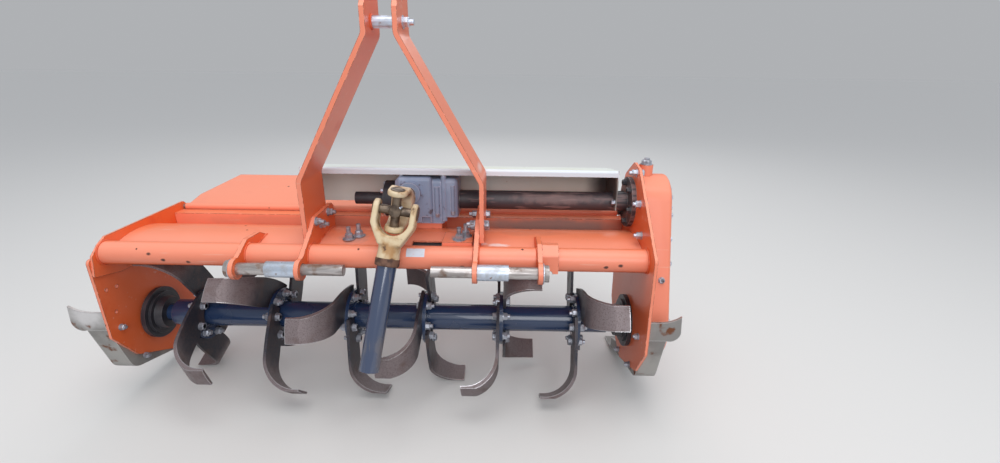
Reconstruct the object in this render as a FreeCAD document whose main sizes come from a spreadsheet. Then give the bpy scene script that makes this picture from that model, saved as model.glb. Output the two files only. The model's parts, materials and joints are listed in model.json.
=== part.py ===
import FreeCAD, Part
import math
import os
import Sketcher
from FreeCAD import Placement, Rotation, Vector

# Rotary tiller for a three-point hitch, as it stands parked on its blades and skids.
# X runs along the rotor, -Y points to the tractor, Z is up.
# Places are measured from the datum: the hitch centre in X, and the rotor axis in Y and Z.

doc = FreeCAD.newDocument("tiller")

# Driving dimensions in millimetres, one row each: alias, value, what it measures.
SIZES = (
    ("rotor_left", 593.5, "hitch centre to the leftmost blade flange"),
    ("flange_pitch", 218, "spacing of the blade flanges"),
    ("flange_radius", 77, "blade flange"),
    ("flange_thick", 10, "blade flange"),
    ("rotor_radius", 38, "rotor tube"),
    ("rotor_end", 88, "rotor tube past the outer flanges"),
    ("journal_radius", 25, "rotor journals"),
    ("running_gap", 0.3, "radial gap in bearings and at pins"),
    ("end_play", 1, "rotor journals to the side plates"),
    ("tip_radius", 225, "rotor axis to the outside of the blades"),
    ("blade_thick", 8, "blade strip"),
    ("shank_side", 90, "tip line to the outer corner of a blade's root"),
    ("shank_bow", 80, "tip line to the middle of the cutting edge"),
    ("wing_half", 31, "half width of a blade at its tip"),
    ("blade_bend", 80, "inside radius of the blade bend"),
    ("wing_reach", 105, "flange centre to the end of a blade wing"),
    ("blade_phase", 200, "angle of the first right-hand blade tip, degrees from the rear"),
    ("blade_step", 26, "angle from one flange to the next, degrees"),
    ("plate_left", 743, "hitch centre to the inside of the left end plate"),
    ("plate_right", 646, "hitch centre to the inside of the right plate"),
    ("end_thick", 6, "left end plate of the hood"),
    ("plate_thick", 8, "side plates"),
    ("plate_low", 145, "rotor axis to the lowest corner of the side plates"),
    ("bearing_radius", 75, "bearing flanges"),
    ("bearing_thick", 12, "bearing flanges"),
    ("step_radius", 62, "step between a bearing's flange and its hub"),
    ("step_thick", 7, "step between a bearing's flange and its hub"),
    ("hub_radius", 52, "bearing hubs at their flange"),
    ("hub_nose", 45, "bearing hubs at their end"),
    ("hub_length", 26, "bearing hubs past their flange"),
    ("deck_radius", 264, "rotor axis to the outside of the hood sheet"),
    ("deck_thick", 4, "hood sheet"),
    ("front_tube_radius", 30, "front tube"),
    ("front_tube_wall", 5, "front tube"),
    ("front_tube_y", -120, "front tube axis"),
    ("front_tube_z", 240, "front tube axis"),
    ("beam_y", 152, "front face of the rear beam"),
    ("beam_z", 201, "underside of the rear beam"),
    ("beam_depth", 40, "rear beam"),
    ("beam_height", 60, "rear beam"),
    ("beam_wall", 4, "rear beam"),
    ("drive_y", 92, "axis of the side drive shaft"),
    ("drive_z", 336, "axis of the side drive shaft"),
    ("drive_tube_radius", 27, "tube round the side drive shaft"),
    ("drive_flange_radius", 72, "flange of the drive tube"),
    ("drive_flange_thick", 12, "flange of the drive tube"),
    ("stub_radius", 18, "shaft cover left of the gearbox"),
    ("stub_length", 90, "shaft cover left of the gearbox"),
    ("case_width", 88, "chain case, across"),
    ("case_low_radius", 96, "chain case round the rotor"),
    ("case_high_radius", 82, "chain case round the drive shaft"),
    ("case_round", 10, "outer edge of the chain case"),
    ("filler_radius", 19, "oil filler boss of the chain case"),
    ("filler_rise", 28, "oil filler boss above the chain case"),
    ("skid_width", 55, "skid sole"),
    ("skid_thick", 6, "skid sole, web and lip"),
    ("skid_bend", 40, "bends of the skid sole, at its middle line"),
    ("lip_width", 88, "raised lip at the front of a skid"),
    ("lip_low", 36, "rotor axis to the underside of a skid's lip"),
    ("lip_high", 107, "rotor axis to the outer corner of a skid's lip"),
    ("hole_radius", 5, "small holes in the left side plate"),
    ("gearbox_left", 26, "hitch centre to the left side of the gearbox"),
    ("gearbox_right", 112, "hitch centre to the right side of the gearbox"),
    ("gearbox_front", 46, "front face of the gearbox"),
    ("gearbox_back", 150, "back face of the gearbox"),
    ("gearbox_low", 276, "underside of the gearbox"),
    ("gearbox_high", 404, "top of the gearbox"),
    ("gearbox_round", 12, "edges of the gearbox"),
    ("rib_radius", 8, "upright ribs of the gearbox"),
    ("face_thick", 10, "raised face at the front of the gearbox"),
    ("cap_thick", 34, "bearing caps at the sides of the gearbox"),
    ("cap_radius", 52, "bearing cap at the left of the gearbox"),
    ("cap_half", 55, "half height of the bearing cap at the right of the gearbox"),
    ("input_x", 20, "axis of the input shaft"),
    ("input_z", 370, "axis of the input shaft"),
    ("input_radius", 17, "input shaft"),
    ("seal_radius", 30, "seal housing of the input shaft"),
    ("seal_length", 16, "seal housing of the input shaft"),
    ("cross_y", -140, "centre of the universal joint"),
    ("cross_half", 48, "half length of the joint's cross"),
    ("cross_radius", 11, "trunnions of the cross"),
    ("yoke_half", 53, "half width of a yoke"),
    ("yoke_arm", 15, "thickness of a yoke's arm"),
    ("yoke_eye", 24, "radius of a yoke's eye"),
    ("yoke_throat", 62, "joint centre to the throat of a yoke"),
    ("yoke_hub_radius", 27, "yoke hub"),
    ("yoke_hub_end", 118, "joint centre to the end of a yoke's hub"),
    ("yoke_roll", 9, "turn of the joint about the input shaft, degrees"),
    ("shaft_lean", 20.5, "forward lean of the hanging half shaft, degrees"),
    ("collar_radius", 28, "collar at the end of the lower yoke"),
    ("collar_length", 16, "collar at the end of the lower yoke"),
    ("half_shaft_radius", 24, "tube of the half shaft"),
    ("half_shaft_wall", 4, "tube of the half shaft"),
    ("half_shaft_end", 392, "joint centre to the end of the half shaft"),
    ("lug_outer", 373, "hitch centre to the middle of the outer lug plates"),
    ("lug_inner", 214, "hitch centre to the middle of the inner lug plates"),
    ("lug_thick", 12, "lug plates"),
    ("lug_boss", 27, "lug plates round a lower pin"),
    ("lug_top", 332, "top of the inner lug plates"),
    ("lug_back", 60, "back of the inner lug plates"),
    ("pin_radius", 14, "free end of a lower hitch pin"),
    ("pin_shank_radius", 15, "lower hitch pins in their lugs and sleeve"),
    ("pin_y", -184, "lower hitch pins"),
    ("pin_z", 229, "lower hitch pins"),
    ("pin_inside", 107, "hitch centre to the free end of a lower pin"),
    ("pin_head", 15, "head of a lower pin"),
    ("pin_head_radius", 21, "head of a lower pin"),
    ("sleeve_radius", 20, "sleeves on the lower pins"),
    ("sleeve_length", 76, "sleeves on the lower pins"),
    ("mast_half_top", 36, "hitch centre to the middle of a mast bar at its top"),
    ("mast_thick", 12, "mast bars"),
    ("mast_bend", 30, "bends of the mast bars, at their middle line"),
    ("mast_low", 275, "foot of the mast bars"),
    ("mast_bend_low", 430, "lower bend of the mast bars"),
    ("mast_bend_high", 770, "upper bend of the mast bars"),
    ("mast_top", 885, "top of the mast bars"),
    ("mast_front", -105, "front edge of the mast bars"),
    ("mast_back_low", 38, "back edge of the mast bars at the foot"),
    ("mast_back_high", 20, "back edge of the mast bars at the top"),
    ("link_y", -48, "top link holes and spacer"),
    ("link_z", 852, "top link holes"),
    ("link_hole_radius", 9.75, "top link holes"),
    ("spacer_z", 797, "spacer tube between the mast bars"),
    ("spacer_radius", 14, "spacer tube between the mast bars"),
    ("guard_left", 284, "hitch centre to the left end of the guard"),
    ("guard_right", 596, "hitch centre to the right end of the guard"),
    ("guard_front", 40, "front edge of the guard"),
    ("guard_back", 190, "back wall of the guard"),
    ("guard_top", 436, "front lip of the guard"),
    ("guard_fall", 22, "drop of the guard's top from front to back"),
    ("guard_low", 300, "underside of the guard's back wall"),
    ("guard_lip", 18, "front lip of the guard"),
    ("guard_thick", 3, "guard sheet"),
    ("sheet_bend", 5, "bends of the guard and the stay plate, at their middle line"),
    ("guard_foot", 250, "underside of the guard's left end"),
    ("hinge_radius", 7, "hinge rod of the rear flap"),
    ("barrel_wall", 3.5, "hinge barrel of the rear flap"),
    ("flap_thick", 4, "rear flap"),
    ("flap_length", 234, "rear flap, from its hinge to its edge"),
    ("flap_straight", 78, "rear flap, from its hinge to where it narrows"),
    ("flap_taper", 60, "how much each end of the rear flap narrows"),
    ("flap_gap", 8, "rear flap to the side plates"),
    ("flap_rise", 12.5, "slope of the rear flap, degrees"),
    ("stay_left", 379, "hitch centre to the left side of the front stay plate"),
    ("stay_width", 41, "front stay plate"),
    ("stay_low", 196, "lower end of the front stay plate"),
    ("stay_thick", 6, "front stay plate"),
    ("pad_left", 123, "hitch centre to the left side of the deck pad"),
    ("pad_width", 78, "deck pad, across"),
    ("pad_front", -98, "front of the deck pad"),
    ("pad_depth", 77, "deck pad, front to back"),
    ("pad_top", 274, "top of the deck pad"),
)

dims = doc.addObject("Spreadsheet::Sheet", "Dims")


class Sizes:
    """The driving dimensions as plain numbers, for outlines."""


size = Sizes()


def enter(row, alias, value, meaning=""):
    """Writes one dimension to the sheet and keeps its number."""
    dims.set(f"A{row}", alias)
    dims.set(f"B{row}", str(value))
    dims.set(f"C{row}", meaning)
    dims.setAlias(f"B{row}", alias)
    setattr(size, alias, float(value))


for row, (alias, value, meaning) in enumerate(SIZES, start=1):
    enter(row, alias, value, meaning)

ALONG_X = Rotation(Vector(0, 1, 0), 90)
ALONG_Y = Rotation(Vector(1, 0, 0), -90)
UPRIGHT = Rotation()
FLANGES = 6
NODES = []


def seat(piece, x="0", y="0", z="0"):
    """Places a piece from the datum by expressions."""
    for axis, offset in zip("xyz", (x, y, z)):
        piece.setExpression(f"Placement.Base.{axis}", f"Dims.datum_{axis} + ({offset})")


def keep(name, piece):
    """Lists a finished piece under the name of its file."""
    piece.Label = name
    NODES.append(piece)
    return piece


def rod(name, start, end, y, z, radius, local=False):
    """A round bar along X, from start to end."""
    piece = doc.addObject("Part::Cylinder", name)
    piece.Placement = Placement(Vector(), ALONG_X)
    piece.setExpression("Radius", radius)
    piece.setExpression("Height", f"({end}) - ({start})")
    if local:
        piece.setExpression("Placement.Base.x", start)
    else:
        seat(piece, start, y, z)
    return piece


def bar(name, place, length, radius, turn=UPRIGHT, local=False):
    """A round bar of one length from a place, upright unless it is turned."""
    piece = doc.addObject("Part::Cylinder", name)
    piece.Placement = Placement(Vector(), turn)
    piece.setExpression("Radius", radius)
    piece.setExpression("Height", length)
    if local:
        for axis, offset in zip("xyz", place):
            piece.setExpression(f"Placement.Base.{axis}", offset)
    else:
        seat(piece, *place)
    return piece


def cone(name, start, length, y, z, first, last, turn=ALONG_X):
    """A round taper along X from its first to its last radius."""
    piece = doc.addObject("Part::Cone", name)
    piece.Placement = Placement(Vector(), turn)
    piece.setExpression("Radius1", first)
    piece.setExpression("Radius2", last)
    piece.setExpression("Height", length)
    seat(piece, start, y, z)
    return piece


def block(name, x, y, z, local=False):
    """A box given by its low and high expression on each axis."""
    piece = doc.addObject("Part::Box", name)
    for side, (low, high) in zip(("Length", "Width", "Height"), (x, y, z)):
        piece.setExpression(side, f"({high}) - ({low})")
    if local:
        for axis, (low, high) in zip("xyz", (x, y, z)):
            piece.setExpression(f"Placement.Base.{axis}", low)
    else:
        seat(piece, x[0], y[0], z[0])
    return piece


def cut(name, base, *tools):
    """The base less every tool, one Part::Cut after another."""
    for number, tool in enumerate(tools):
        last = number == len(tools) - 1
        step = doc.addObject("Part::Cut", name if last else f"{name}_step{number}")
        step.Base = base
        step.Tool = tool
        base = step
    return base


def fuse(name, *pieces):
    """The union of the pieces."""
    piece = doc.addObject("Part::MultiFuse", name)
    piece.Shapes = list(pieces)
    piece.Refine = True
    return piece


def common(name, *pieces):
    """What all the pieces share."""
    piece = doc.addObject("Part::MultiCommon", name)
    piece.Shapes = list(pieces)
    return piece


def tube(name, start, end, y, z, radius, wall):
    """A round tube along X."""
    return cut(name, rod(f"{name}_outer", start, end, y, z, radius),
               rod(f"{name}_inner", start, end, y, z, f"({radius}) - ({wall})"))


def outline(body, plane, points, name):
    """A closed sketch on one of the body's own planes. A point with four numbers is an arc: middle, then end."""
    sketch = body.newObject("Sketcher::SketchObject", name)
    role = next(item for item in body.Origin.OriginFeatures if item.Role == plane)
    sketch.AttachmentSupport = (role, [""])
    sketch.MapMode = "FlatFace"
    here = points[-1][-2:]
    for point in points:
        end = Vector(*point[-2:], 0)
        if len(point) == 4:
            sketch.addGeometry(Part.Arc(Vector(*here, 0), Vector(*point[:2], 0), end), False)
        else:
            sketch.addGeometry(Part.LineSegment(Vector(*here, 0), end), False)
        here = point[-2:]
    return sketch


def plate(name, points, thick, place=("0", "0", "0"), plane="YZ_Plane", round_off=None, back=False, local=False):
    """A flat plate: an outline padded by its thickness, its outer corners rounded if asked."""
    body = doc.addObject("PartDesign::Body", name)
    if local:
        for axis, offset in zip("xyz", place):
            body.setExpression(f"Placement.Base.{axis}", offset)
    else:
        seat(body, *place)
    sketch = outline(body, plane, tuple(points), f"{name}_outline")
    pad = body.newObject("PartDesign::Pad", f"{name}_pad")
    pad.Profile = sketch
    pad.Reversed = back
    pad.setExpression("Length", thick)
    if round_off:
        doc.recompute()
        corner = body.newObject("PartDesign::Fillet", f"{name}_corners")
        corner.Base = (pad, straight_edges(pad.Shape, plane))
        corner.Radius = round_off
        body.Tip = corner
    return body


def straight_edges(shape, plane):
    """Names of the straight edges that run across a plane."""
    normal = {"YZ_Plane": Vector(1, 0, 0), "XZ_Plane": Vector(0, 1, 0), "XY_Plane": Vector(0, 0, 1)}[plane]
    names = []
    for number, edge in enumerate(shape.Edges, start=1):
        run = edge.Vertexes[-1].Point - edge.Vertexes[0].Point
        if run.Length > 0 and abs(run.normalize().dot(normal)) > 0.999:
            names.append(f"Edge{number}")
    return names


def strip(path, thick, bend):
    """The outline of a strip that follows a path, its bends round at one radius of the middle line."""
    points = [Vector(*point, 0) for point in path]
    runs = [(after - before).normalize() for before, after in zip(points, points[1:])]

    def beside(run, amount):
        return Vector(-run.y, run.x, 0) * amount

    left = [[points[0] + beside(runs[0], thick / 2)]]
    right = [[points[0] - beside(runs[0], thick / 2)]]
    for corner, arrive, leave in zip(points[1:], runs, runs[1:]):
        hand = 1 if arrive.cross(leave).z > 0 else -1
        centre = corner - arrive * (bend * math.tan(arrive.getAngle(leave) / 2)) + beside(arrive, hand * bend)
        middle = (corner - centre).normalize()
        for side, sign in ((left, 1), (right, -1)):
            radius = bend - hand * sign * thick / 2
            side.append([centre - beside(arrive, hand * radius), centre + middle * radius,
                         centre - beside(leave, hand * radius)])
    left.append([points[-1] + beside(runs[-1], thick / 2)])
    right.append([points[-1] - beside(runs[-1], thick / 2)])
    shape = []
    for bow in left + [bow[::-1] for bow in right[::-1]]:
        shape.append((bow[0].x, bow[0].y))
        if len(bow) == 3:
            shape.append((bow[1].x, bow[1].y, bow[2].x, bow[2].y))
    return tuple(shape)


def rounded_block(name, x, y, z):
    """A box given by its low and high value on each axis, with all but its lowest edges rounded."""
    body = doc.addObject("PartDesign::Body", name)
    seat(body, str(x[0]), str(y[0]), str(z[0]))
    wide, deep = x[1] - x[0], y[1] - y[0]
    pad = body.newObject("PartDesign::Pad", f"{name}_pad")
    pad.Profile = outline(body, "XY_Plane", ((wide, 0), (wide, deep), (0, deep), (0, 0)), f"{name}_outline")
    pad.Length = z[1] - z[0]
    doc.recompute()
    rounding = body.newObject("PartDesign::Fillet", f"{name}_rounding")
    rounding.Base = (pad, [f"Edge{number}" for number, edge in enumerate(pad.Shape.Edges, start=1)
                           if max(vertex.Point.z for vertex in edge.Vertexes) > 1])
    rounding.setExpression("Radius", "Dims.gearbox_round")
    body.Tip = rounding
    return body


def side_structure():
    """Left end plate and side plate, right plate, front tube, hood sheet and rear beam."""
    left, right = "-Dims.plate_left", "Dims.plate_right"
    low = -size.plate_low
    beam_top = size.beam_z + size.beam_height
    beam_back = size.beam_y + size.beam_depth
    hinge_edge = beam_back + 2 * (size.hinge_radius + size.barrel_wall)
    tube_front = size.front_tube_y - size.front_tube_radius
    tube_top = size.front_tube_z + size.front_tube_radius
    end_outline = ((-171, 191), (tube_front - 12, size.front_tube_z + 4), (tube_front + 14, tube_top - 4),
                   (size.front_tube_y + 10, tube_top + 10), (hinge_edge - 12, beam_top + 24),
                   (hinge_edge, beam_top + 14), (hinge_edge, 172), (-90, 172))
    keep("end_plate", plate("end_plate_body", end_outline, "Dims.end_thick", (f"{left} - Dims.end_thick",),
                            round_off=5))
    side_outline = ((-171, 236), (-168, 11), (-102, -81), (26, low), (120, low + 35), (195, -20), (204, 236))
    outer_left = f"{left} - Dims.end_thick - Dims.plate_thick"
    holes = [rod(f"side_hole{number}", outer_left, left, str(y), str(z), "Dims.hole_radius")
             for number, (y, z) in enumerate(((-144, 143), (-111, 138), (-134, 74)), start=1)]
    keep("side_plate_left", cut("side_plate_left_drilled",
                                plate("side_plate_left_body", side_outline, "Dims.plate_thick", (outer_left,),
                                      round_off=12), *holes))
    case_top = size.drive_z + size.case_high_radius + 34
    right_outline = ((90, case_top), (34, case_top - 8), (-56, 372), (-137, 306), (-187, 266), (-194, 107),
                     (-198, 10), (-136, -81), (26, low), (120, low + 35), (195, -20), (hinge_edge, 235),
                     (hinge_edge, 312), (172, 402))
    keep("side_plate_right", plate("side_plate_right_body", right_outline, "Dims.plate_thick", (right,),
                                   round_off=14))

    keep("front_tube", tube("front_tube_body", left, right, "Dims.front_tube_y", "Dims.front_tube_z",
                            "Dims.front_tube_radius", "Dims.front_tube_wall"))
    inside = ("Dims.beam_y + Dims.beam_wall", "Dims.beam_y + Dims.beam_depth - Dims.beam_wall")
    between = ("Dims.beam_z + Dims.beam_wall", "Dims.beam_z + Dims.beam_height - Dims.beam_wall")
    keep("rear_beam", cut("rear_beam_body", beam_block("rear_beam_outer"),
                          block("rear_beam_inner", (left, right), inside, between)))

    reach = "Dims.deck_radius"
    slot = block("deck_slot", ("40", "118"), ("-76", "-52"), ("0", reach))
    keep("hood", cut("hood_body", tube("hood_ring", left, right, "0", "0", reach, "Dims.deck_thick"),
                     front_rod("hood_front"),
                     block("hood_below", (left, right), (f"-{reach}", reach), (f"-{reach}", "Dims.beam_z")),
                     block("hood_behind", (left, right), ("Dims.beam_y", reach), (f"-{reach}", reach)),
                     block("hood_ahead", (left, right), (f"-{reach}", "Dims.front_tube_y"), (f"-{reach}", reach)),
                     slot))


def front_rod(name):
    """The whole space of the front tube, to cut what is welded to it."""
    return rod(name, "-Dims.plate_left", "Dims.plate_right", "Dims.front_tube_y", "Dims.front_tube_z",
               "Dims.front_tube_radius")


def deck_rod(name):
    """The whole space under the hood sheet, to cut what stands on it."""
    return rod(name, "-Dims.plate_left", "Dims.plate_right", "0", "0", "Dims.deck_radius")


def beam_block(name):
    """The whole space of the rear beam."""
    return block(name, ("-Dims.plate_left", "Dims.plate_right"), ("Dims.beam_y", "Dims.beam_y + Dims.beam_depth"),
                 ("Dims.beam_z", "Dims.beam_z + Dims.beam_height"))


def rotor():
    """Rotor tube with journals and flanges, and four bent blades on each flange."""
    start, end = "-Dims.rotor_left - Dims.rotor_end", f"{FLANGES - 1} * Dims.flange_pitch - Dims.rotor_left + Dims.rotor_end"
    pieces = [rod("rotor_barrel", start, end, "0", "0", "Dims.rotor_radius"),
              rod("rotor_journal", "-Dims.plate_left + Dims.end_play", "Dims.plate_right - Dims.end_play", "0", "0",
                  "Dims.journal_radius")]
    for number in range(FLANGES):
        middle = f"{number} * Dims.flange_pitch - Dims.rotor_left"
        pieces.append(rod(f"rotor_flange{number + 1}", f"{middle} - Dims.flange_thick / 2",
                          f"{middle} + Dims.flange_thick / 2", "0", "0", "Dims.flange_radius"))
    keep("rotor_tube", fuse("rotor_tube_body", *pieces))

    blades = [blade(hand) for hand in (1, -1)]
    doc.recompute()
    for number in range(FLANGES):
        turn = size.blade_phase + number * size.blade_step
        middle = Vector(number * size.flange_pitch - size.rotor_left, 0, 0)
        solids = []
        for shape, tips in zip(blades, ((turn, turn + 180), (turn + 90, turn + 270))):
            for tip in tips:
                copy = shape.Shape.copy()
                copy.Placement = Placement(middle, Rotation(Vector(1, 0, 0), tip - 90))
                solids.append(copy)
        piece = doc.addObject("Part::Feature", f"blades{number + 1}_body")
        piece.Shape = Part.Compound(solids)
        seat(piece)
        keep(f"blades_{number + 1}", piece)


def blade(hand):
    """A blade with its tip straight up, bent to the right (hand 1) or to the left (hand -1)."""
    name = "blade_right" if hand > 0 else "blade_left"
    face = size.flange_thick / 2
    inner = face + size.blade_thick
    top = size.tip_radius - size.blade_thick
    low = top - size.blade_bend
    over = size.tip_radius + size.blade_thick / 4
    root = -0.1 * size.rotor_radius
    slant = math.sqrt(0.5)
    profile = ((face, root), (inner, root), (inner, low),
               (inner + size.blade_bend * (1 - slant), low + size.blade_bend * slant, inner + size.blade_bend, top),
               (size.wing_reach, top), (size.wing_reach, over), (inner + size.blade_bend, over),
               (inner + size.blade_bend - (over - low) * slant, low + (over - low) * slant,
                face, low))
    profile = tuple(tuple(value * (hand if place % 2 == 0 else 1) for place, value in enumerate(point))
                    for point in profile)
    band = 2 * size.shank_side
    bent = plate(f"{name}_profile", profile, str(band), ("0", f"-{band / 2}", "0"), plane="XZ_Plane", back=True,
                 local=True)
    hug = size.rotor_radius + size.blade_thick
    sabre = ((size.shank_side, root),
             (size.shank_bow, 0.38 * size.tip_radius, size.wing_half, over),
             (-size.wing_half, over),
             (-0.5 * size.wing_half, 0.58 * size.tip_radius, 0.06 * size.wing_half, 1.36 * hug),
             (hug * math.cos(math.radians(83)), hug * math.sin(math.radians(83))),
             (hug * math.cos(math.radians(40)), hug * math.sin(math.radians(40)),
              math.sqrt(hug ** 2 - root ** 2), root))
    span = size.wing_reach + 1
    side = plate(f"{name}_side", sabre, str(span), (str(0 if hand > 0 else -span), "0", "0"), local=True)
    sweep = rod(f"{name}_sweep", f"-{span}", f"{span}", "0", "0", "Dims.tip_radius", local=True)
    return common(name, bent, side, sweep)


def bearings():
    """A flanged bearing housing inside each side plate."""
    for side, sign, plate_face in (("left", 1, "-Dims.plate_left"), ("right", -1, "Dims.plate_right")):
        turn = ALONG_X if sign > 0 else Rotation(Vector(0, 1, 0), -90)
        disc = bar(f"bearing_disc_{side}", (plate_face,), "Dims.bearing_thick", "Dims.bearing_radius", turn)
        step = bar(f"bearing_step_{side}", (plate_face,), "Dims.bearing_thick + Dims.step_thick", "Dims.step_radius",
                   turn)
        nose = cone(f"bearing_nose_{side}", f"{plate_face} + {sign} * Dims.bearing_thick", "Dims.hub_length", "0", "0",
                    "Dims.hub_radius", "Dims.hub_nose", turn)
        bore = bar(f"bearing_bore_{side}", (plate_face,), "Dims.bearing_thick + Dims.hub_length",
                   "Dims.journal_radius + Dims.running_gap", turn)
        keep(f"bearing_{side}", cut(f"bearing_{side}_body", fuse(f"bearing_solid_{side}", disc, step, nose), bore))


def chain_case():
    """Cast case outside the right plate, round the rotor at its foot and the drive shaft at its head."""
    low, high = size.case_low_radius, size.case_high_radius
    span = math.hypot(size.drive_y, size.drive_z)
    tilt = math.atan2(size.drive_z, size.drive_y)
    lean = math.acos((low - high) / span)

    def mark(centre, radius, angle):
        return (centre[0] + radius * math.cos(angle), centre[1] + radius * math.sin(angle))

    foot, head = (0, 0), (size.drive_y, size.drive_z)
    points = (mark(head, high, tilt - lean), mark(head, high, tilt) + mark(head, high, tilt + lean),
              mark(foot, low, tilt + lean), mark(foot, low, tilt + math.pi) + mark(foot, low, tilt - lean))
    shell = plate("chain_case_shell", points, "Dims.case_width", ("Dims.plate_right + Dims.plate_thick",))
    doc.recompute()
    pad = shell.Tip
    outside = max(vertex.Point.x for vertex in pad.Shape.Vertexes)
    names = [f"Edge{number}" for number, edge in enumerate(pad.Shape.Edges, start=1)
             if all(abs(vertex.Point.x - outside) < 0.01 for vertex in edge.Vertexes)]
    rounding = shell.newObject("PartDesign::Fillet", "chain_case_rounding")
    rounding.Base = (pad, names)
    rounding.setExpression("Radius", "Dims.case_round")
    shell.Tip = rounding
    filler = bar("filler_boss", ("Dims.plate_right + Dims.plate_thick + Dims.filler_radius + 8", "Dims.drive_y",
                                 "Dims.drive_z"),
                 "Dims.case_high_radius + Dims.filler_rise", "Dims.filler_radius")
    keep("chain_case", fuse("chain_case_body", shell, filler))


def skids():
    """A bent sole, its web and its raised lip outside each side plate. The heel stands on the ground with the blades."""
    low = -size.plate_low
    ground = -size.tip_radius + size.skid_thick / 2
    nose = size.lip_low
    sole = strip(((-166, nose + 24), (-164, nose + 2), (-118, -112), (26, low - 4), (222, ground), (262, ground)),
                 size.skid_thick, size.skid_bend)
    web = ((-163, nose + 4), (-117, -110), (26, low - 3), (172, ground + 20), (172, ground + 54), (26, low + 34),
           (-70, -84), (-110, -20), (-118, 62))
    wide, high, inner_high = size.lip_width, size.lip_high, size.lip_high - 18
    for side, sign, inner in (("left", -1, "-Dims.plate_left - Dims.end_thick - Dims.plate_thick"),
                              ("right", 1, "Dims.plate_right + Dims.plate_thick")):
        lip = ((0, inner_high), (0, nose), (0.6 * wide, nose), (0.93 * wide, nose + 8, wide, nose + 32),
               (0.97 * wide, high), (0.7 * wide, inner_high + 5, 0.42 * wide, inner_high))
        lip = tuple(tuple(value * (sign if place % 2 == 0 else 1) for place, value in enumerate(point))
                    for point in lip)
        start = "" if sign > 0 else " - Dims.skid_width"
        edge = "" if sign > 0 else " - Dims.skid_thick"
        keep(f"skid_{side}", fuse(f"skid_{side}_body",
                                  plate(f"skid_sole_{side}", sole, "Dims.skid_width", (f"{inner}{start}",)),
                                  plate(f"skid_web_{side}", web, "Dims.skid_thick", (f"{inner}{edge}",)),
                                  plate(f"skid_lip_{side}", lip, "Dims.skid_thick", (inner, "-169", "0"),
                                        plane="XZ_Plane", back=True)))


def gearbox():
    """Bevel gearbox on its saddle, its bearing caps, the drive tube to the chain case and the left cover."""
    keep("gearbox_saddle", cut("gearbox_saddle_body",
                               block("saddle_block", ("-Dims.gearbox_left + 8", "Dims.gearbox_right - 8"),
                                     ("Dims.gearbox_front + 6", "Dims.beam_y"), ("0", "Dims.gearbox_low")),
                               deck_rod("saddle_seat")))
    left, right, front, back = -size.gearbox_left, size.gearbox_right, size.gearbox_front, size.gearbox_back
    low, high = size.gearbox_low, size.gearbox_high
    face_front = front - size.face_thick
    housing = rounded_block("gearbox_housing", (left, right), (front, back), (low, high))
    face = cut("gearbox_face",
               rounded_block("gearbox_face_block", (left + 8, right - 31), (face_front, front + 20),
                             (low + 6, high + 8)),
               block("gearbox_notch", ("50", "74"), (str(face_front), str(front)), ("0", f"{low + 22}")))
    ribs = [bar(f"gearbox_rib{number}", (str(x), str(y), str(start)), str(end - start), "Dims.rib_radius")
            for number, (x, y, start, end) in enumerate((
                (right - 19, front, low + 30, high - 20), (right, front + 4, low + 8, high + 10),
                (right - 19, back, low + 30, high - 20), (right, back - 4, low + 8, high + 4)), start=1)]
    keep("gearbox", fuse("gearbox_body", housing, face, *ribs))

    keep("input_seal", cut("input_seal_body",
                           bar("input_seal_outer", ("Dims.input_x", f"{face_front} - Dims.seal_length", "Dims.input_z"),
                               "Dims.seal_length", "Dims.seal_radius", ALONG_Y),
                           bar("input_seal_inner", ("Dims.input_x", f"{face_front} - Dims.seal_length", "Dims.input_z"),
                               "Dims.seal_length", "Dims.input_radius", ALONG_Y)))
    drive = ("Dims.drive_y", "Dims.drive_z")
    left_cap = "-Dims.gearbox_left - Dims.cap_thick"
    keep("cap_left", rod("cap_left_body", left_cap, "-Dims.gearbox_left", *drive, "Dims.cap_radius"))
    cap_middle = size.drive_z + 16
    cap_end = right + size.cap_thick + size.rib_radius - 2
    cap = rounded_block("cap_right_block", (right, cap_end), (front - 6, back - 8),
                        (cap_middle - size.cap_half, cap_middle + size.cap_half))
    cap_rib = bar("cap_rib", (str(cap_end - 14), str(front - 6), f"{cap_middle} - Dims.cap_half + 18"),
                  "2 * Dims.cap_half - 36", "Dims.rib_radius - 2")
    keep("cap_right", cut("cap_right_body", fuse("cap_right_solid", cap, cap_rib),
                          *(bar(f"cap_rib_space{number}", (str(right), str(y), str(low)), str(high - low + 30),
                                "Dims.rib_radius") for number, y in enumerate((front + 4, back - 4), start=1))))
    keep("shaft_cover", rod("shaft_cover_body", f"{left_cap} - Dims.stub_length", left_cap, *drive,
                            "Dims.stub_radius"))
    flange = "Dims.plate_right - Dims.drive_flange_thick"
    keep("drive_tube", fuse("drive_tube_body",
                            rod("drive_tube_barrel", str(cap_end), flange, *drive,
                                "Dims.drive_tube_radius"),
                            rod("drive_tube_flange", flange, "Dims.plate_right", *drive,
                                "Dims.drive_flange_radius")))


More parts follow.
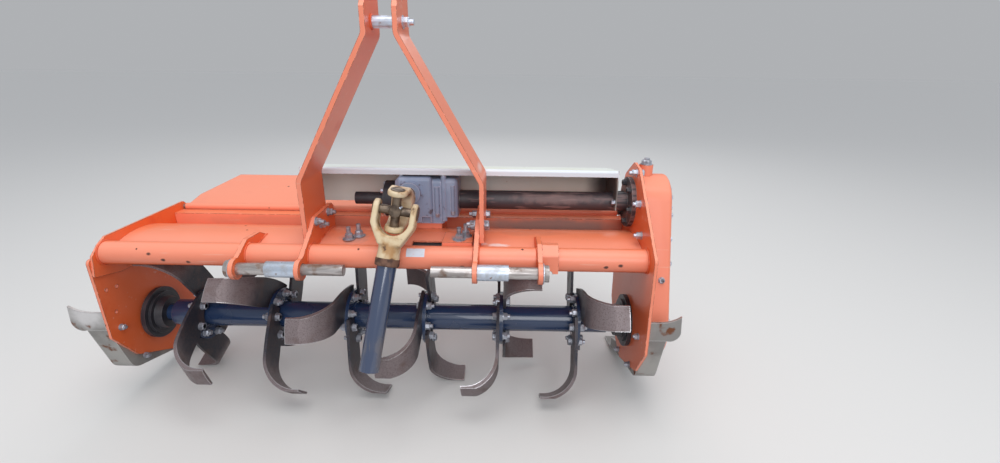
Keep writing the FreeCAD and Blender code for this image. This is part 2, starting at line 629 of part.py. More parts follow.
def guard():
    """Sheet cover over the gearbox and drive tube, open in front and below."""
    thick, back, front = size.guard_thick, size.guard_back, size.guard_front
    high_back = size.guard_top - size.guard_fall
    half = thick / 2
    sheet = strip(((front + half, size.guard_top - size.guard_lip), (front + half, size.guard_top - half),
                   (back - half, high_back - half), (back - half, size.guard_low)), thick, size.sheet_bend)
    left, right = "-Dims.guard_left", "Dims.guard_right"
    cover = plate("guard_sheet", sheet, "Dims.guard_left + Dims.guard_right", (left,))
    end_top = ((front, size.guard_top), (back, high_back))
    left_end = plate("guard_left_end", ((front, size.guard_foot), *end_top, (back, size.guard_foot)),
                     "Dims.guard_thick", (left,))
    left_seated = cut("guard_left_seated", left_end, deck_rod("guard_deck_seat"), beam_block("guard_beam_seat"))
    lower = size.drive_z - 12
    right_end = plate("guard_right_end", ((front, lower), *end_top, (back, lower)), "Dims.guard_thick",
                      (f"{right} - Dims.guard_thick",))
    right_seated = cut("guard_right_seated", right_end,
                       rod("guard_tube_seat", "0", right, "Dims.drive_y", "Dims.drive_z", "Dims.drive_tube_radius"))
    keep("guard", fuse("guard_body", cover, left_seated, right_seated))


def hitch():
    """Lug plates, lower pins and sleeves, mast bars with spacer, stay plate and deck pad."""
    pin_y, pin_z, boss = size.pin_y, size.pin_z, size.lug_boss
    tube_y, tube_z, tube_r = size.front_tube_y, size.front_tube_z, size.front_tube_radius

    def boss_point(degrees):
        return (pin_y + boss * math.cos(math.radians(degrees)), pin_z + boss * math.sin(math.radians(degrees)))

    nose = (boss_point(-65), boss_point(180) + boss_point(75))
    outer_lug = (*nose, (tube_y - 4, tube_z + tube_r + 13), (tube_y + 60, tube_z + tube_r + 10),
                 (tube_y + 94, size.deck_radius - 2), (tube_y, tube_z))
    inner_lug = (*nose, (tube_y + 12, tube_z + 1.9 * tube_r), (tube_y + 52, size.lug_top - 5),
                 (size.lug_back - 12, size.lug_top), (size.lug_back, size.lug_top - 10), (size.lug_back, tube_z - 10),
                 (tube_y, tube_z))
    for side, sign in (("left", -1), ("right", 1)):
        for kind, points in (("outer", outer_lug), ("inner", inner_lug)):
            name = f"lug_{kind}_{side}"
            low = f"{sign} * Dims.lug_{kind} - Dims.lug_thick / 2"
            blank = plate(f"{name}_blank", points, "Dims.lug_thick", (low,))
            hole = rod(f"{name}_hole", low, f"{low} + Dims.lug_thick", "Dims.pin_y", "Dims.pin_z",
                       "Dims.pin_shank_radius")
            keep(name, cut(f"{name}_body", blank, deck_rod(f"{name}_deck"), front_rod(f"{name}_tube"), hole))
        pin = ("Dims.pin_y", "Dims.pin_z")
        inside = "(Dims.lug_inner - Dims.lug_thick / 2)"
        outside = "(Dims.lug_outer + Dims.lug_thick / 2)"
        sleeve_start = "(Dims.lug_inner + Dims.lug_thick / 2)"
        spans = {"free": ("Dims.pin_inside", inside), "shank": (inside, outside),
                 "head": (outside, f"{outside} + Dims.pin_head"),
                 "sleeve": (sleeve_start, f"{sleeve_start} + Dims.sleeve_length")}
        if sign < 0:
            spans = {stretch: (f"-({end})", f"-({start})") for stretch, (start, end) in spans.items()}
        keep(f"pin_{side}", fuse(f"pin_{side}_body",
                                 rod(f"pin_free_{side}", *spans["free"], *pin, "Dims.pin_radius"),
                                 rod(f"pin_shank_{side}", *spans["shank"], *pin, "Dims.pin_shank_radius"),
                                 rod(f"pin_head_{side}", *spans["head"], *pin, "Dims.pin_head_radius")))
        keep(f"sleeve_{side}", tube(f"sleeve_{side}_body", *spans["sleeve"], *pin, "Dims.sleeve_radius",
                                    "Dims.sleeve_radius - Dims.pin_shank_radius"))
        mast_bar(side, sign)
    inside = "(Dims.mast_half_top - Dims.mast_thick / 2)"
    keep("mast_spacer", rod("mast_spacer_body", f"-{inside}", inside, "Dims.link_y", "Dims.spacer_z",
                            "Dims.spacer_radius"))

    face = tube_y - tube_r
    stay_path = ((face - 1, size.stay_low), (face - 1, tube_z + 0.7 * tube_r), (tube_y - 6, tube_z + tube_r + 9),
                 (tube_y + 22, tube_z + tube_r + 4))
    keep("stay_plate", cut("stay_plate_body",
                           plate("stay_blank", strip(stay_path, size.stay_thick, size.sheet_bend), "Dims.stay_width",
                                 ("Dims.stay_left",)),
                           front_rod("stay_tube"), deck_rod("stay_deck"),
                           bar("stay_hole", ("Dims.stay_left + Dims.stay_width / 2", "Dims.front_tube_y - 60",
                                             "Dims.stay_low + 20"), "60", "6", ALONG_Y)))
    keep("deck_pad", cut("deck_pad_body",
                         block("deck_pad_block", ("Dims.pad_left", "Dims.pad_left + Dims.pad_width"),
                               ("Dims.pad_front", "Dims.pad_front + Dims.pad_depth"), ("0", "Dims.pad_top")),
                         deck_rod("deck_pad_seat"), front_rod("deck_pad_tube")))


def mast_bar(side, sign):
    """A mast bar: bent in to the top link, tapered towards its top, bolted outside the inner lug."""
    outer = size.lug_inner + (size.lug_thick + size.mast_thick) / 2
    path = ((outer, size.mast_low), (outer, size.mast_bend_low), (size.mast_half_top, size.mast_bend_high),
            (size.mast_half_top, size.mast_top))
    bend = strip(tuple((sign * x, z) for x, z in path), size.mast_thick, size.mast_bend)
    deep = "Dims.mast_back_low - Dims.mast_front"
    bent = plate(f"mast_{side}_bend", bend, deep, ("0", "Dims.mast_front", "0"), plane="XZ_Plane", back=True)
    front, low, high = size.mast_front, size.mast_back_low, size.mast_back_high
    top = size.mast_top
    side_view = ((front, size.mast_low), (low, size.mast_low), (low - 5, size.mast_bend_low),
                 (high, size.mast_bend_high), (high, top - 30), (high - 30, top), (front + 40, top),
                 (front, top - 60))
    reach = size.lug_inner + size.lug_thick + size.mast_thick
    flat = plate(f"mast_{side}_side", side_view, str(reach), (str(0 if sign > 0 else -reach),))
    link = rod(f"mast_{side}_link_hole", f"-{reach}", f"{reach}", "Dims.link_y", "Dims.link_z",
               "Dims.link_hole_radius")
    keep(f"mast_{side}", cut(f"mast_{side}_body", common(f"mast_{side}_bar", bent, flat), link))


def drive_joint():
    """Input shaft with its yoke, the cross, and the half shaft that hangs from it."""
    roll = Rotation(Vector(0, 1, 0), size.yoke_roll)
    lean = math.radians(size.shaft_lean)
    back = roll.multiply(Rotation(Vector(0, 0, 1), Vector(1, 0, 0), Vector(0, 1, 0), "ZXY"))
    down = roll.multiply(Rotation(Vector(1, 0, 0), Vector(0, -math.cos(lean), math.sin(lean)),
                                  Vector(0, -math.sin(lean), -math.cos(lean)), "ZXY"))
    centre = ("Dims.input_x", "Dims.cross_y", "Dims.input_z")
    half_shaft_inner = "Dims.half_shaft_radius - Dims.half_shaft_wall"

    def place(piece, turn):
        piece.Placement = Placement(Vector(), turn)
        seat(piece, *centre)
        return piece

    keep("input_yoke", place(yoke("input_yoke"), back))
    keep("input_shaft", bar("input_shaft_body", ("Dims.input_x", "Dims.cross_y + Dims.yoke_hub_end", "Dims.input_z"),
                            "Dims.gearbox_front - Dims.face_thick - Dims.cross_y - Dims.yoke_hub_end",
                            "Dims.input_radius", ALONG_Y))
    arm = bar("cross_arm", ("-Dims.cross_half", "0", "0"), "2 * Dims.cross_half", "Dims.cross_radius", ALONG_X,
              local=True)
    post = bar("cross_post", ("0", "0", "-Dims.cross_half"), "2 * Dims.cross_half", "Dims.cross_radius", local=True)
    keep("cross", place(fuse("cross_body", arm, post), roll))
    collar = bar("yoke_collar", ("0", "0", "Dims.yoke_hub_end - Dims.collar_length / 2"), "Dims.collar_length",
                 "Dims.collar_radius", local=True)
    keep("lower_yoke", place(fuse("lower_yoke_solid", yoke("lower_yoke"), collar), down))
    shaft = cut("half_shaft_tube",
                bar("half_shaft_outer", ("0", "0", "Dims.yoke_hub_end + Dims.collar_length / 2"),
                    "Dims.half_shaft_end - Dims.yoke_hub_end - Dims.collar_length / 2", "Dims.half_shaft_radius",
                    local=True),
                bar("half_shaft_inner", ("0", "0", "Dims.yoke_hub_end + Dims.collar_length / 2"),
                    "Dims.half_shaft_end - Dims.yoke_hub_end - Dims.collar_length / 2", half_shaft_inner,
                    local=True))
    keep("half_shaft", place(shaft, down))


def yoke(name):
    """A cast yoke in its own frame: pins along X, hub along Z."""
    eye, arm, half, throat = size.yoke_eye, size.yoke_arm, size.yoke_half, size.yoke_throat
    shoulder = throat + 0.6 * arm
    inner = half - arm
    fork = ((half, -eye), (half, 0.6 * throat), (size.yoke_hub_radius, shoulder + arm),
            (-size.yoke_hub_radius, shoulder + arm), (-half, 0.6 * throat), (-half, -eye), (-inner, -eye),
            (-inner, 0.5 * throat), (0, throat, inner, 0.5 * throat), (inner, -eye))
    bow = plate(f"{name}_fork", fork, str(2 * size.yoke_hub_radius), ("0", f"-{size.yoke_hub_radius}", "0"),
                plane="XZ_Plane", back=True, local=True)
    hub = size.yoke_hub_radius
    face = ((hub, throat), (hub, shoulder + arm), (-hub, shoulder + arm), (-hub, throat), (-eye, 0),
            (0, -eye, eye, 0))
    sides = plate(f"{name}_face", face, str(2 * half), (f"-{half}", "0", "0"), local=True)
    stem = bar(f"{name}_hub", ("0", "0", "Dims.yoke_throat"), "Dims.yoke_hub_end - Dims.yoke_throat",
               "Dims.yoke_hub_radius", local=True)
    eyes = bar(f"{name}_eyes", ("-Dims.yoke_half", "0", "0"), "2 * Dims.yoke_half",
               "Dims.cross_radius + Dims.running_gap", ALONG_X, local=True)
    return cut(f"{name}_body", fuse(f"{name}_solid", common(f"{name}_shape", bow, sides), stem), eyes)


def rear_flap():
    """Hinge rod behind the beam and the flap that turns on it."""
    hinge_y = "Dims.beam_y + Dims.beam_depth + Dims.hinge_radius + 2 * Dims.running_gap + Dims.barrel_wall"
    hinge_z = "Dims.beam_z + Dims.beam_height + Dims.hinge_radius"
    keep("hinge_rod", rod("hinge_rod_body", "-Dims.plate_left", "Dims.plate_right", hinge_y, hinge_z,
                          "Dims.hinge_radius"))
    left = -size.plate_left + size.flap_gap
    right = size.plate_right - size.flap_gap
    taper = size.flap_taper
    sheet = ((right, size.hinge_radius + 1), (right, size.flap_straight), (right - taper, size.flap_length),
             (left + taper, size.flap_length), (left, size.flap_straight), (left, size.hinge_radius + 1))
    panel = plate("flap_panel", sheet, "Dims.flap_thick", ("0", "0", "-Dims.flap_thick / 2"), plane="XY_Plane",
                  local=True)
    barrel = rod("flap_barrel", str(left), str(right), "0", "0", "Dims.hinge_radius + Dims.running_gap + Dims.barrel_wall",
                 local=True)
    bore = rod("flap_bore", str(left), str(right), "0", "0", "Dims.hinge_radius + Dims.running_gap", local=True)
    flap = cut("flap_body", fuse("flap_solid", panel, barrel), bore)
    flap.Placement = Placement(Vector(), Rotation(Vector(1, 0, 0), size.flap_rise))
    seat(flap, "0", hinge_y, hinge_z)
    keep("rear_flap", flap)


def set_datum():
    """Puts the origin of the frame under the middle of the whole machine."""
    left_edge = -(size.plate_left + size.end_thick + size.plate_thick + size.lip_width)
    right_edge = size.plate_right + size.plate_thick + size.case_width
    hinge = size.beam_y + size.beam_depth + size.hinge_radius + 2 * size.running_gap + size.barrel_wall
    rise = math.radians(size.flap_rise)
    back_edge = hinge + size.flap_length * math.cos(rise) + size.flap_thick / 2 * math.sin(rise)
    lean = math.radians(size.shaft_lean)
    front_edge = (size.cross_y - size.half_shaft_end * math.sin(lean)
                  - size.half_shaft_radius * math.cos(lean))
    places = (-(left_edge + right_edge) / 2, -(front_edge + back_edge) / 2, size.tip_radius)
    for row, (axis, place) in enumerate(zip("xyz", places), start=len(SIZES) + 1):
        enter(row, f"datum_{axis}", place, f"datum from the origin along {axis}")
    doc.recompute()


def check_and_write():
    """Stops if an object failed or a piece is empty, and writes one file for each piece."""
    doc.recompute()
    os.makedirs("parts", exist_ok=True)
    for item in doc.Objects:
        if "Invalid" in item.State or "Error" in item.State:
            raise RuntimeError(f"{item.Label} failed to compute")
    for piece in NODES:
        if piece.Shape.isNull() or not piece.Shape.isValid() or not piece.Shape.Solids:
            raise RuntimeError(f"{piece.Label} has no valid shape")
        piece.Shape.exportStep(f"parts/{piece.Label}.step")
        print(piece.Label, len(piece.Shape.Solids), round(piece.Shape.Volume / 1000))


set_datum()
side_structure()
rotor()
bearings()
chain_case()
skids()
gearbox()
guard()
hitch()
drive_joint()
rear_flap()
check_and_write()
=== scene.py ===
# %% [markdown]
# A rotary tiller, dressed for its picture
# The machine is a tractor implement about a metre and a half wide. A bladed rotor turns under an orange sheet
# hood. A gearbox on the hood drives a shaft to the chain case at the right end. The solids come packed as a
# fixed frame, so this script adds what a workshop adds to bare steel: paint, wear, dust, bolts and welds.

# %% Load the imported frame
import json
import math

import bmesh
import bpy
from mathutils import Matrix, Vector


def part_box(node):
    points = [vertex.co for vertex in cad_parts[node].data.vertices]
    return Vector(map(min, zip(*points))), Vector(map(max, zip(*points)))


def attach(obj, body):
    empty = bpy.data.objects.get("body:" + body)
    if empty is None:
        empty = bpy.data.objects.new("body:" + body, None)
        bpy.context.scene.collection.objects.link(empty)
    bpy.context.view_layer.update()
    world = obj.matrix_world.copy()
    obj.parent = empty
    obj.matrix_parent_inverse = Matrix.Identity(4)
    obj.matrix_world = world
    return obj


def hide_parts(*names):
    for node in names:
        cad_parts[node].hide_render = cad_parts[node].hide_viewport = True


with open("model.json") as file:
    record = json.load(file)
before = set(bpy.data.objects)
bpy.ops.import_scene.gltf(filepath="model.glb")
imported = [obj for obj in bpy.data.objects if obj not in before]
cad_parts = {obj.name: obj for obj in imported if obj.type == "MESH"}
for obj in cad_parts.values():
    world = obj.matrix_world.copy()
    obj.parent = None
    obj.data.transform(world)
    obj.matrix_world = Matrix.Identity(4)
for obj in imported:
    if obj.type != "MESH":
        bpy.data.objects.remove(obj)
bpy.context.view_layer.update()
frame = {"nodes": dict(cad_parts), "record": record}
nodes = frame["nodes"]

# %% [markdown]
# Every place below is written in millimetres from one datum: the hitch centre across the machine, and the rotor's
# axis for depth and height. The datum is read from the frame, so the details follow the solids when a size changes.

# %% The datum


def centre(node):
    """The middle of a node's box."""
    low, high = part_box(node)
    return (low + high) / 2


DATUM = Vector((centre("mast_spacer").x, centre("rotor_tube").y, centre("rotor_tube").z))
MM = 0.001


def at(x, y, z):
    """A place in the frame, from millimetres off the datum."""
    return DATUM + Vector((x, y, z)) * MM


print("datum:", [round(value, 4) for value in DATUM])

# %% [markdown]
# Old paint is never one colour. What sets it apart is a set of effects that most of the finishes share, so each
# effect is a node group that is built once: mottling, worn edges, dust on upper faces, scuffs and specks. A
# small builder keeps the trees readable: it adds a node, sets its values and links its inputs in one call.

# %% A builder for node trees


class Tree:
    """Adds nodes to one tree and links them."""

    def __init__(self, tree):
        self.tree = tree
        self.column = 0

    def add(self, kind, settings=None, **inputs):
        """A new node. Inputs are values or sockets, by name with underscores for spaces, or by _number."""
        node = self.tree.nodes.new(kind)
        self.column += 1
        node.location = (180 * (self.column % 12), -260 * (self.column // 12))
        for name, value in (settings or {}).items():
            setattr(node, name, value)
        for name, value in inputs.items():
            key = int(name[1:]) if name[0] == "_" else name.replace("_", " ")
            self.feed(node.inputs[key], value)
        return node

    def feed(self, socket, value):
        """Links a socket to a socket, or sets a plain value."""
        if isinstance(value, bpy.types.NodeSocket):
            self.tree.links.new(value, socket)
        elif isinstance(value, bpy.types.Node):
            self.tree.links.new(value.outputs[0], socket)
        else:
            socket.default_value = value

    def math(self, operation, first, second=0.0, third=0.0):
        """One sum."""
        return self.add("ShaderNodeMath", {"operation": operation}, _0=first, _1=second, _2=third).outputs[0]

    def ramp(self, value, low, high, start=0.0, end=1.0):
        """A value spread smoothly from one range to another."""
        node = self.add("ShaderNodeMapRange", {"interpolation_type": "SMOOTHSTEP"}, Value=value)
        for name, number in (("From Min", low), ("From Max", high), ("To Min", start), ("To Max", end)):
            self.feed(node.inputs[name], number)
        return node.outputs[0]


def new_group(name, inputs, outputs):
    """An empty shader group with named inputs and outputs, and its builder."""
    group = bpy.data.node_groups.new(name, "ShaderNodeTree")
    kinds = {float: "NodeSocketFloat", Vector: "NodeSocketVector"}
    for label, value in inputs.items():
        socket = group.interface.new_socket(label, in_out="INPUT", socket_type=kinds[type(value)])
        socket.default_value = value
    for label, kind in outputs.items():
        group.interface.new_socket(label, in_out="OUTPUT", socket_type=kinds[kind])
    build = Tree(group)
    return build, build.add("NodeGroupInput").outputs, build.add("NodeGroupOutput").inputs


# %% [markdown]
# Mottling is the slow drift of colour over a panel that sun and rain have faded unevenly. Noise in the object's
# own coordinates does it: the noise stays on the metal when a part turns.

# %% Mottle
build, given, result = new_group("mottle", {"Scale": 6.0, "Detail": 4.0, "Low": 0.35, "High": 0.65},
                                 {"Mask": float})
place = build.add("ShaderNodeTexCoord").outputs["Object"]
noise = build.add("ShaderNodeTexNoise", Vector=place, Scale=given["Scale"], Detail=given["Detail"])
build.feed(result["Mask"], build.ramp(noise.outputs["Fac"], given["Low"], given["High"]))

# %% [markdown]
# Paint wears first along the edges. The Bevel node gives the normal that a rounded edge would have. Where it
# departs from the true normal there is an edge, and noise breaks the line into chips.

# %% Worn edges
build, given, result = new_group("worn_edges", {"Reach": 0.003, "Chips": 90.0, "Amount": 0.5}, {"Mask": float})
place = build.add("ShaderNodeTexCoord").outputs["Object"]
rounded = build.add("ShaderNodeBevel", {"samples": 6}, Radius=given["Reach"])
true_normal = build.add("ShaderNodeNewGeometry").outputs["Normal"]
agree = build.add("ShaderNodeVectorMath", {"operation": "DOT_PRODUCT"}, _0=rounded, _1=true_normal).outputs["Value"]
edge = build.ramp(agree, 0.985, 0.86)
chips = build.add("ShaderNodeTexNoise", Vector=place, Scale=given["Chips"], Detail=5.0).outputs["Fac"]
threshold = build.math("SUBTRACT", 1.0, given["Amount"])
broken = build.ramp(build.math("ADD", chips, build.math("MULTIPLY", edge, 0.25)),
                    threshold, build.math("ADD", threshold, 0.12))
build.feed(result["Mask"], build.math("MULTIPLY", edge, broken))

# %% [markdown]
# Dust and dried soil lie on faces that look up, thick in some patches and thin in others.

# %% Dust on upper faces
build, given, result = new_group("dust", {"Coverage": 0.4, "Patch": 9.0, "Walls": 0.08}, {"Mask": float})
place = build.add("ShaderNodeTexCoord").outputs["Object"]
normal = build.add("ShaderNodeNewGeometry").outputs["Normal"]
up = build.add("ShaderNodeSeparateXYZ", Vector=normal).outputs["Z"]
lying = build.math("MAXIMUM", build.ramp(up, 0.25, 0.95), given["Walls"])
patches = build.add("ShaderNodeTexNoise", Vector=place, Scale=given["Patch"], Detail=6.0, Roughness=0.62)
grit = build.add("ShaderNodeTexNoise", Vector=place, Scale=240.0, Detail=3.0)
blotch = build.math("ADD", patches.outputs["Fac"], build.math("MULTIPLY", grit.outputs["Fac"], 0.22))
start = build.math("SUBTRACT", 0.93, build.math("MULTIPLY", given["Coverage"], 0.6))
spread = build.ramp(blotch, start, build.math("ADD", start, 0.25))
build.feed(result["Mask"], build.math("MULTIPLY", lying, spread))

# %% [markdown]
# Scuffs are long thin rubs. Noise that is squeezed along one direction and cut high leaves such streaks.

# %% Scuffs
build, given, result = new_group("scuffs", {"Long": 5.0, "Fine": 130.0, "Amount": 0.3}, {"Mask": float})
place = build.add("ShaderNodeTexCoord").outputs["Object"]
along = build.add("ShaderNodeCombineXYZ", X=given["Long"], Y=given["Fine"], Z=given["Fine"])
stretched = build.add("ShaderNodeVectorMath", {"operation": "MULTIPLY"}, _0=place, _1=along)
streaks = build.add("ShaderNodeTexNoise", Vector=stretched, Scale=1.0, Detail=3.0).outputs["Fac"]
zones = build.add("ShaderNodeTexNoise", Vector=place, Scale=11.0, Detail=2.0).outputs["Fac"]
level = build.math("SUBTRACT", 1.16, build.math("MULTIPLY", given["Amount"], 0.5))
streaky = build.math("ADD", streaks, build.math("MULTIPLY", zones, 0.6))
build.feed(result["Mask"], build.ramp(streaky, level, build.math("ADD", level, 0.09)))

# %% [markdown]
# Specks are chips, splashes and rust pits: small round cells of a Voronoi pattern, and only some of them.

# %% Specks
build, given, result = new_group("specks", {"Scale": 60.0, "Share": 0.25, "Size": 0.25}, {"Mask": float})
place = build.add("ShaderNodeTexCoord").outputs["Object"]
wobble = build.add("ShaderNodeTexNoise", Vector=place, Scale=150.0, Detail=2.0).outputs["Color"]
nudge = build.add("ShaderNodeVectorMath", {"operation": "SCALE"}, _0=wobble, Scale=0.006)
moved = build.add("ShaderNodeVectorMath", {"operation": "ADD"}, _0=place, _1=nudge)
cells = build.add("ShaderNodeTexVoronoi", {"feature": "F1"}, Vector=moved, Scale=given["Scale"])
chosen = build.math("LESS_THAN", build.add("ShaderNodeSeparateColor", Color=cells.outputs["Color"]), given["Share"])
near = build.ramp(cells.outputs["Distance"], given["Size"], build.math("MULTIPLY", given["Size"], 0.6))
build.feed(result["Mask"], build.math("MULTIPLY", near, chosen))

# %% [markdown]
# Some marks sit in one place only, such as a rub where a chain lay or soil that dried behind a tube. A patch is
# a soft ellipsoid round a point in the object's own coordinates, and noise frays its edge.

# %% Patch
build, given, result = new_group("patch", {"Middle": Vector(), "Half": Vector((0.1, 0.1, 0.1)), "Fray": 0.8,
                                           "Grain": 40.0}, {"Mask": float})
place = build.add("ShaderNodeTexCoord").outputs["Object"]
offset = build.add("ShaderNodeVectorMath", {"operation": "SUBTRACT"}, _0=place, _1=given["Middle"])
share = build.add("ShaderNodeVectorMath", {"operation": "DIVIDE"}, _0=offset, _1=given["Half"])
reach = build.add("ShaderNodeVectorMath", {"operation": "LENGTH"}, _0=share).outputs["Value"]
fray = build.add("ShaderNodeTexNoise", Vector=place, Scale=given["Grain"], Detail=5.0).outputs["Fac"]
frayed = build.math("ADD", reach, build.math("MULTIPLY", build.math("SUBTRACT", fray, 0.5), given["Fray"]))
build.feed(result["Mask"], build.ramp(frayed, 1.1, 0.45))
print("shared effects:", [group.name for group in bpy.data.node_groups])

# %% [markdown]
# A finish is a Principled shader whose colour is a stack: a base, then layers that each cover it where a mask
# says. A layer is a mask, a colour, a roughness and how metallic it is, so one function can stack any of them.
# The finish ends in a fine bump for the grain of the paint or the casting.

# %% A function that stacks a finish


def effect(build, name, **values):
    """One shared effect in a material, with its own values."""
    node = build.add("ShaderNodeGroup", {"node_tree": bpy.data.node_groups[name]})
    for label, value in values.items():
        build.feed(node.inputs[label], value)
    return node.outputs["Mask"]


def mix_colour(build, mask, below, above):
    """One colour over another where the mask is white."""
    node = build.add("ShaderNodeMix", {"data_type": "RGBA"})
    build.feed(node.inputs["Factor"], mask)
    for socket, colour in ((node.inputs[6], below), (node.inputs[7], above)):
        build.feed(socket, (*colour, 1.0) if isinstance(colour, tuple) and len(colour) == 3 else colour)
    return node.outputs[2]


def mix_value(build, mask, below, above):
    """One number over another where the mask is white."""
    node = build.add("ShaderNodeMix", {"data_type": "FLOAT"})
    for socket, value in zip((node.inputs["Factor"], node.inputs[2], node.inputs[3]), (mask, below, above)):
        build.feed(socket, value)
    return node.outputs[0]


def new_finish(name, base, rough, metal=0.0, layers=(), bump=0.02, grain=350.0, coat=0.0, gloss=0.5):
    """A material of a base and its layers, each a (mask maker, colour, roughness, metallic)."""
    material = bpy.data.materials.new(name)
    material.use_nodes = True
    tree = material.node_tree
    shader = tree.nodes["Principled BSDF"]
    build = Tree(tree)
    colour, roughness, metallic = (*base, 1.0), rough, metal
    height = build.add("ShaderNodeTexNoise", Vector=build.add("ShaderNodeTexCoord").outputs["Object"],
                       Scale=grain, Detail=3.0).outputs["Fac"]
    for make_mask, over, over_rough, over_metal in layers:
        mask = make_mask(build)
        colour = mix_colour(build, mask, colour, over)
        roughness = mix_value(build, mask, roughness, over_rough)
        metallic = mix_value(build, mask, metallic, over_metal)
    build.feed(shader.inputs["Base Color"], colour)
    build.feed(shader.inputs["Roughness"], roughness)
    build.feed(shader.inputs["Metallic"], metallic)
    shader.inputs["Coat Weight"].default_value = coat
    shader.inputs["Specular IOR Level"].default_value = gloss
    bumps = build.add("ShaderNodeBump", Height=height, Strength=bump * 10, Distance=0.0006)
    build.feed(shader.inputs["Normal"], bumps)
    return material


def worn(**values):
    return lambda build: effect(build, "worn_edges", **values)


def dusty(**values):
    return lambda build: effect(build, "dust", **values)


def mottled(**values):
    return lambda build: effect(build, "mottle", **values)


def scuffed(**values):
    return lambda build: effect(build, "scuffs", **values)


def speckled(**values):
    return lambda build: effect(build, "specks", **values)


def faded_and_sheen(amount):
    """Faces that look up, as a share: partly sun fade and partly a painted sheen of the sky."""
    def make(build):
        normal = build.add("ShaderNodeNewGeometry").outputs["Normal"]
        up = build.add("ShaderNodeSeparateXYZ", Vector=normal).outputs["Z"]
        return build.math("MULTIPLY", build.ramp(up, -0.1, 0.9), amount)
    return make


def facing(way, amount=1.0):
    """Faces that look one way, given as a direction of length one, as a share."""
    def make(build):
        normal = build.add("ShaderNodeNewGeometry").outputs["Normal"]
        agree = build.add("ShaderNodeVectorMath", {"operation": "DOT_PRODUCT"}, _0=normal, _1=way)
        return build.math("MULTIPLY", build.ramp(agree.outputs["Value"], 0.3, 0.6), amount)
    return make


def marked(middle, half, fray=0.8, grain=40.0, strength=1.0):
    """A patch round a place off the datum, with its half sizes, all in millimetres."""
    def make(build):
        mask = effect(build, "patch", Middle=at(*middle), Half=Vector(half) * MM, Fray=fray, Grain=grain)
        return build.math("MULTIPLY", mask, strength)
    return make


def spots(places, half, fray=0.9, strength=1.0):
    """Patches of one size at several places."""
    def make(build):
        mask = 0.0
        for place in places:
            mask = build.math("MAXIMUM", mask, marked(place, half, fray, 110.0, strength)(build))
        return mask
    return make


# %% [markdown]
# The orange enamel covers nearly all of the sheet metal. Faces that look up or to the front are paler salmon, partly
# sun fade and partly a painted sheen of the sky, and the rest stays deeper. The right mast bar has a painted sky
# sheen and a painted reflection. It has pale rubs, chipped edges with rust in them, and grey-brown dust on what
# looks up.

# %% Orange enamel
SOIL = (0.24, 0.17, 0.12)
RUST = (0.16, 0.055, 0.022)
DARK_RUST = (0.06, 0.028, 0.018)
GREY_DIRT = (0.27, 0.20, 0.18)
PALE_RUB = (0.84, 0.66, 0.62)
WORN_BROWN = (0.34, 0.19, 0.16)
TUBE_CHIPS = ((-610, -149, 249), (-576, -150, 233), (-514, -148, 228), (539, -150, 233), (575, -150, 238),
              (161, -145, 223), (179, -147, 227))
orange = new_finish(
    "orange_enamel", (0.80, 0.140, 0.036), 0.34, coat=0.14, gloss=0.32, bump=0.010, layers=(
        (mottled(Scale=3.2, Detail=5.0, Low=0.44, High=0.70), (0.81, 0.175, 0.070), 0.42, 0.0),
        (mottled(Scale=15.0, Detail=4.0, Low=0.58, High=0.80), (0.72, 0.100, 0.028), 0.42, 0.0),
        # Partly sun fade, partly painted sheen: faces that look up turn paler salmon.
        (faded_and_sheen(0.45), (0.84, 0.30, 0.17), 0.36, 0.0),
        # Painted sheen: faces that look to the front and up are paler salmon.
        (facing((0, -0.94, 0.34), 0.45), (0.85, 0.37, 0.28), 0.40, 0.0),
        (scuffed(Long=4.0, Fine=110.0, Amount=0.30), (0.82, 0.32, 0.22), 0.55, 0.0),
        (marked((430, 153, 236), (250, 12, 30), 0.9, 16.0, 0.80), GREY_DIRT, 0.85, 0.0),
        (marked((420, 116, 238), (280, 36, 24), 1.2, 12.0, 0.30), (0.42, 0.24, 0.20), 0.8, 0.0),
        (marked((-300, 153, 240), (420, 12, 20), 1.2, 12.0, 0.35), (0.40, 0.16, 0.11), 0.8, 0.0),
        (marked((360, 14, 264), (110, 30, 12), 1.4, 18.0, 0.25), (0.36, 0.17, 0.13), 0.8, 0.0),
        (spots(TUBE_CHIPS, (7, 9, 5)), (0.10, 0.045, 0.035), 0.8, 0.0),
        (marked((212, -60, 257), (36, 9, 9), 1.3, 70.0, 0.8), PALE_RUB, 0.6, 0.0),
        (marked((268, -66, 256), (34, 8, 9), 1.3, 70.0, 0.8), PALE_RUB, 0.6, 0.0),
        (marked((166, -64, 274), (30, 24, 10), 0.8, 60.0, 0.7), (0.33, 0.28, 0.28), 0.8, 0.0),
        (marked((-122, -42, 262), (46, 34, 14), 0.9, 50.0, 0.5), (0.33, 0.24, 0.22), 0.8, 0.0),
        # Painted reflection: a pale patch of sky where the right mast bar bends above the guard lip.
        (marked((206, -30, 455), (26, 60, 14), 0.5, 40.0, 0.75), (0.80, 0.58, 0.53), 0.45, 0.0),
        # Painted sheen: the right mast bar's outer face, which looks up to the sky, is paler pink.
        (marked((226, -30, 380), (26, 70, 60), 1.1, 25.0, 0.40), (0.66, 0.38, 0.32), 0.6, 0.0),
        (spots([(x, -190, 217) for x in (-373, -214, 214, 373)], (24, 20, 18), 1.2, 0.6), WORN_BROWN, 0.7, 0.1),
        (dusty(Coverage=0.26, Patch=7.0, Walls=0.04), SOIL, 0.9, 0.0),
        (speckled(Scale=34.0, Share=0.07, Size=0.15), DARK_RUST, 0.8, 0.0),
        (worn(Reach=0.003, Chips=14.0, Amount=0.62), (0.86, 0.36, 0.25), 0.45, 0.0),
        (worn(Reach=0.003, Chips=90.0, Amount=0.40), RUST, 0.75, 0.2)))

# %% [markdown]
# The rotor tube is dipped in blue-black paint. The blades are bare spring steel: blued near the flange, brown with
# earth and rust over the wing, and bright where the soil polishes the tip and the cutting edge.

# %% Rotor paint and blade steel


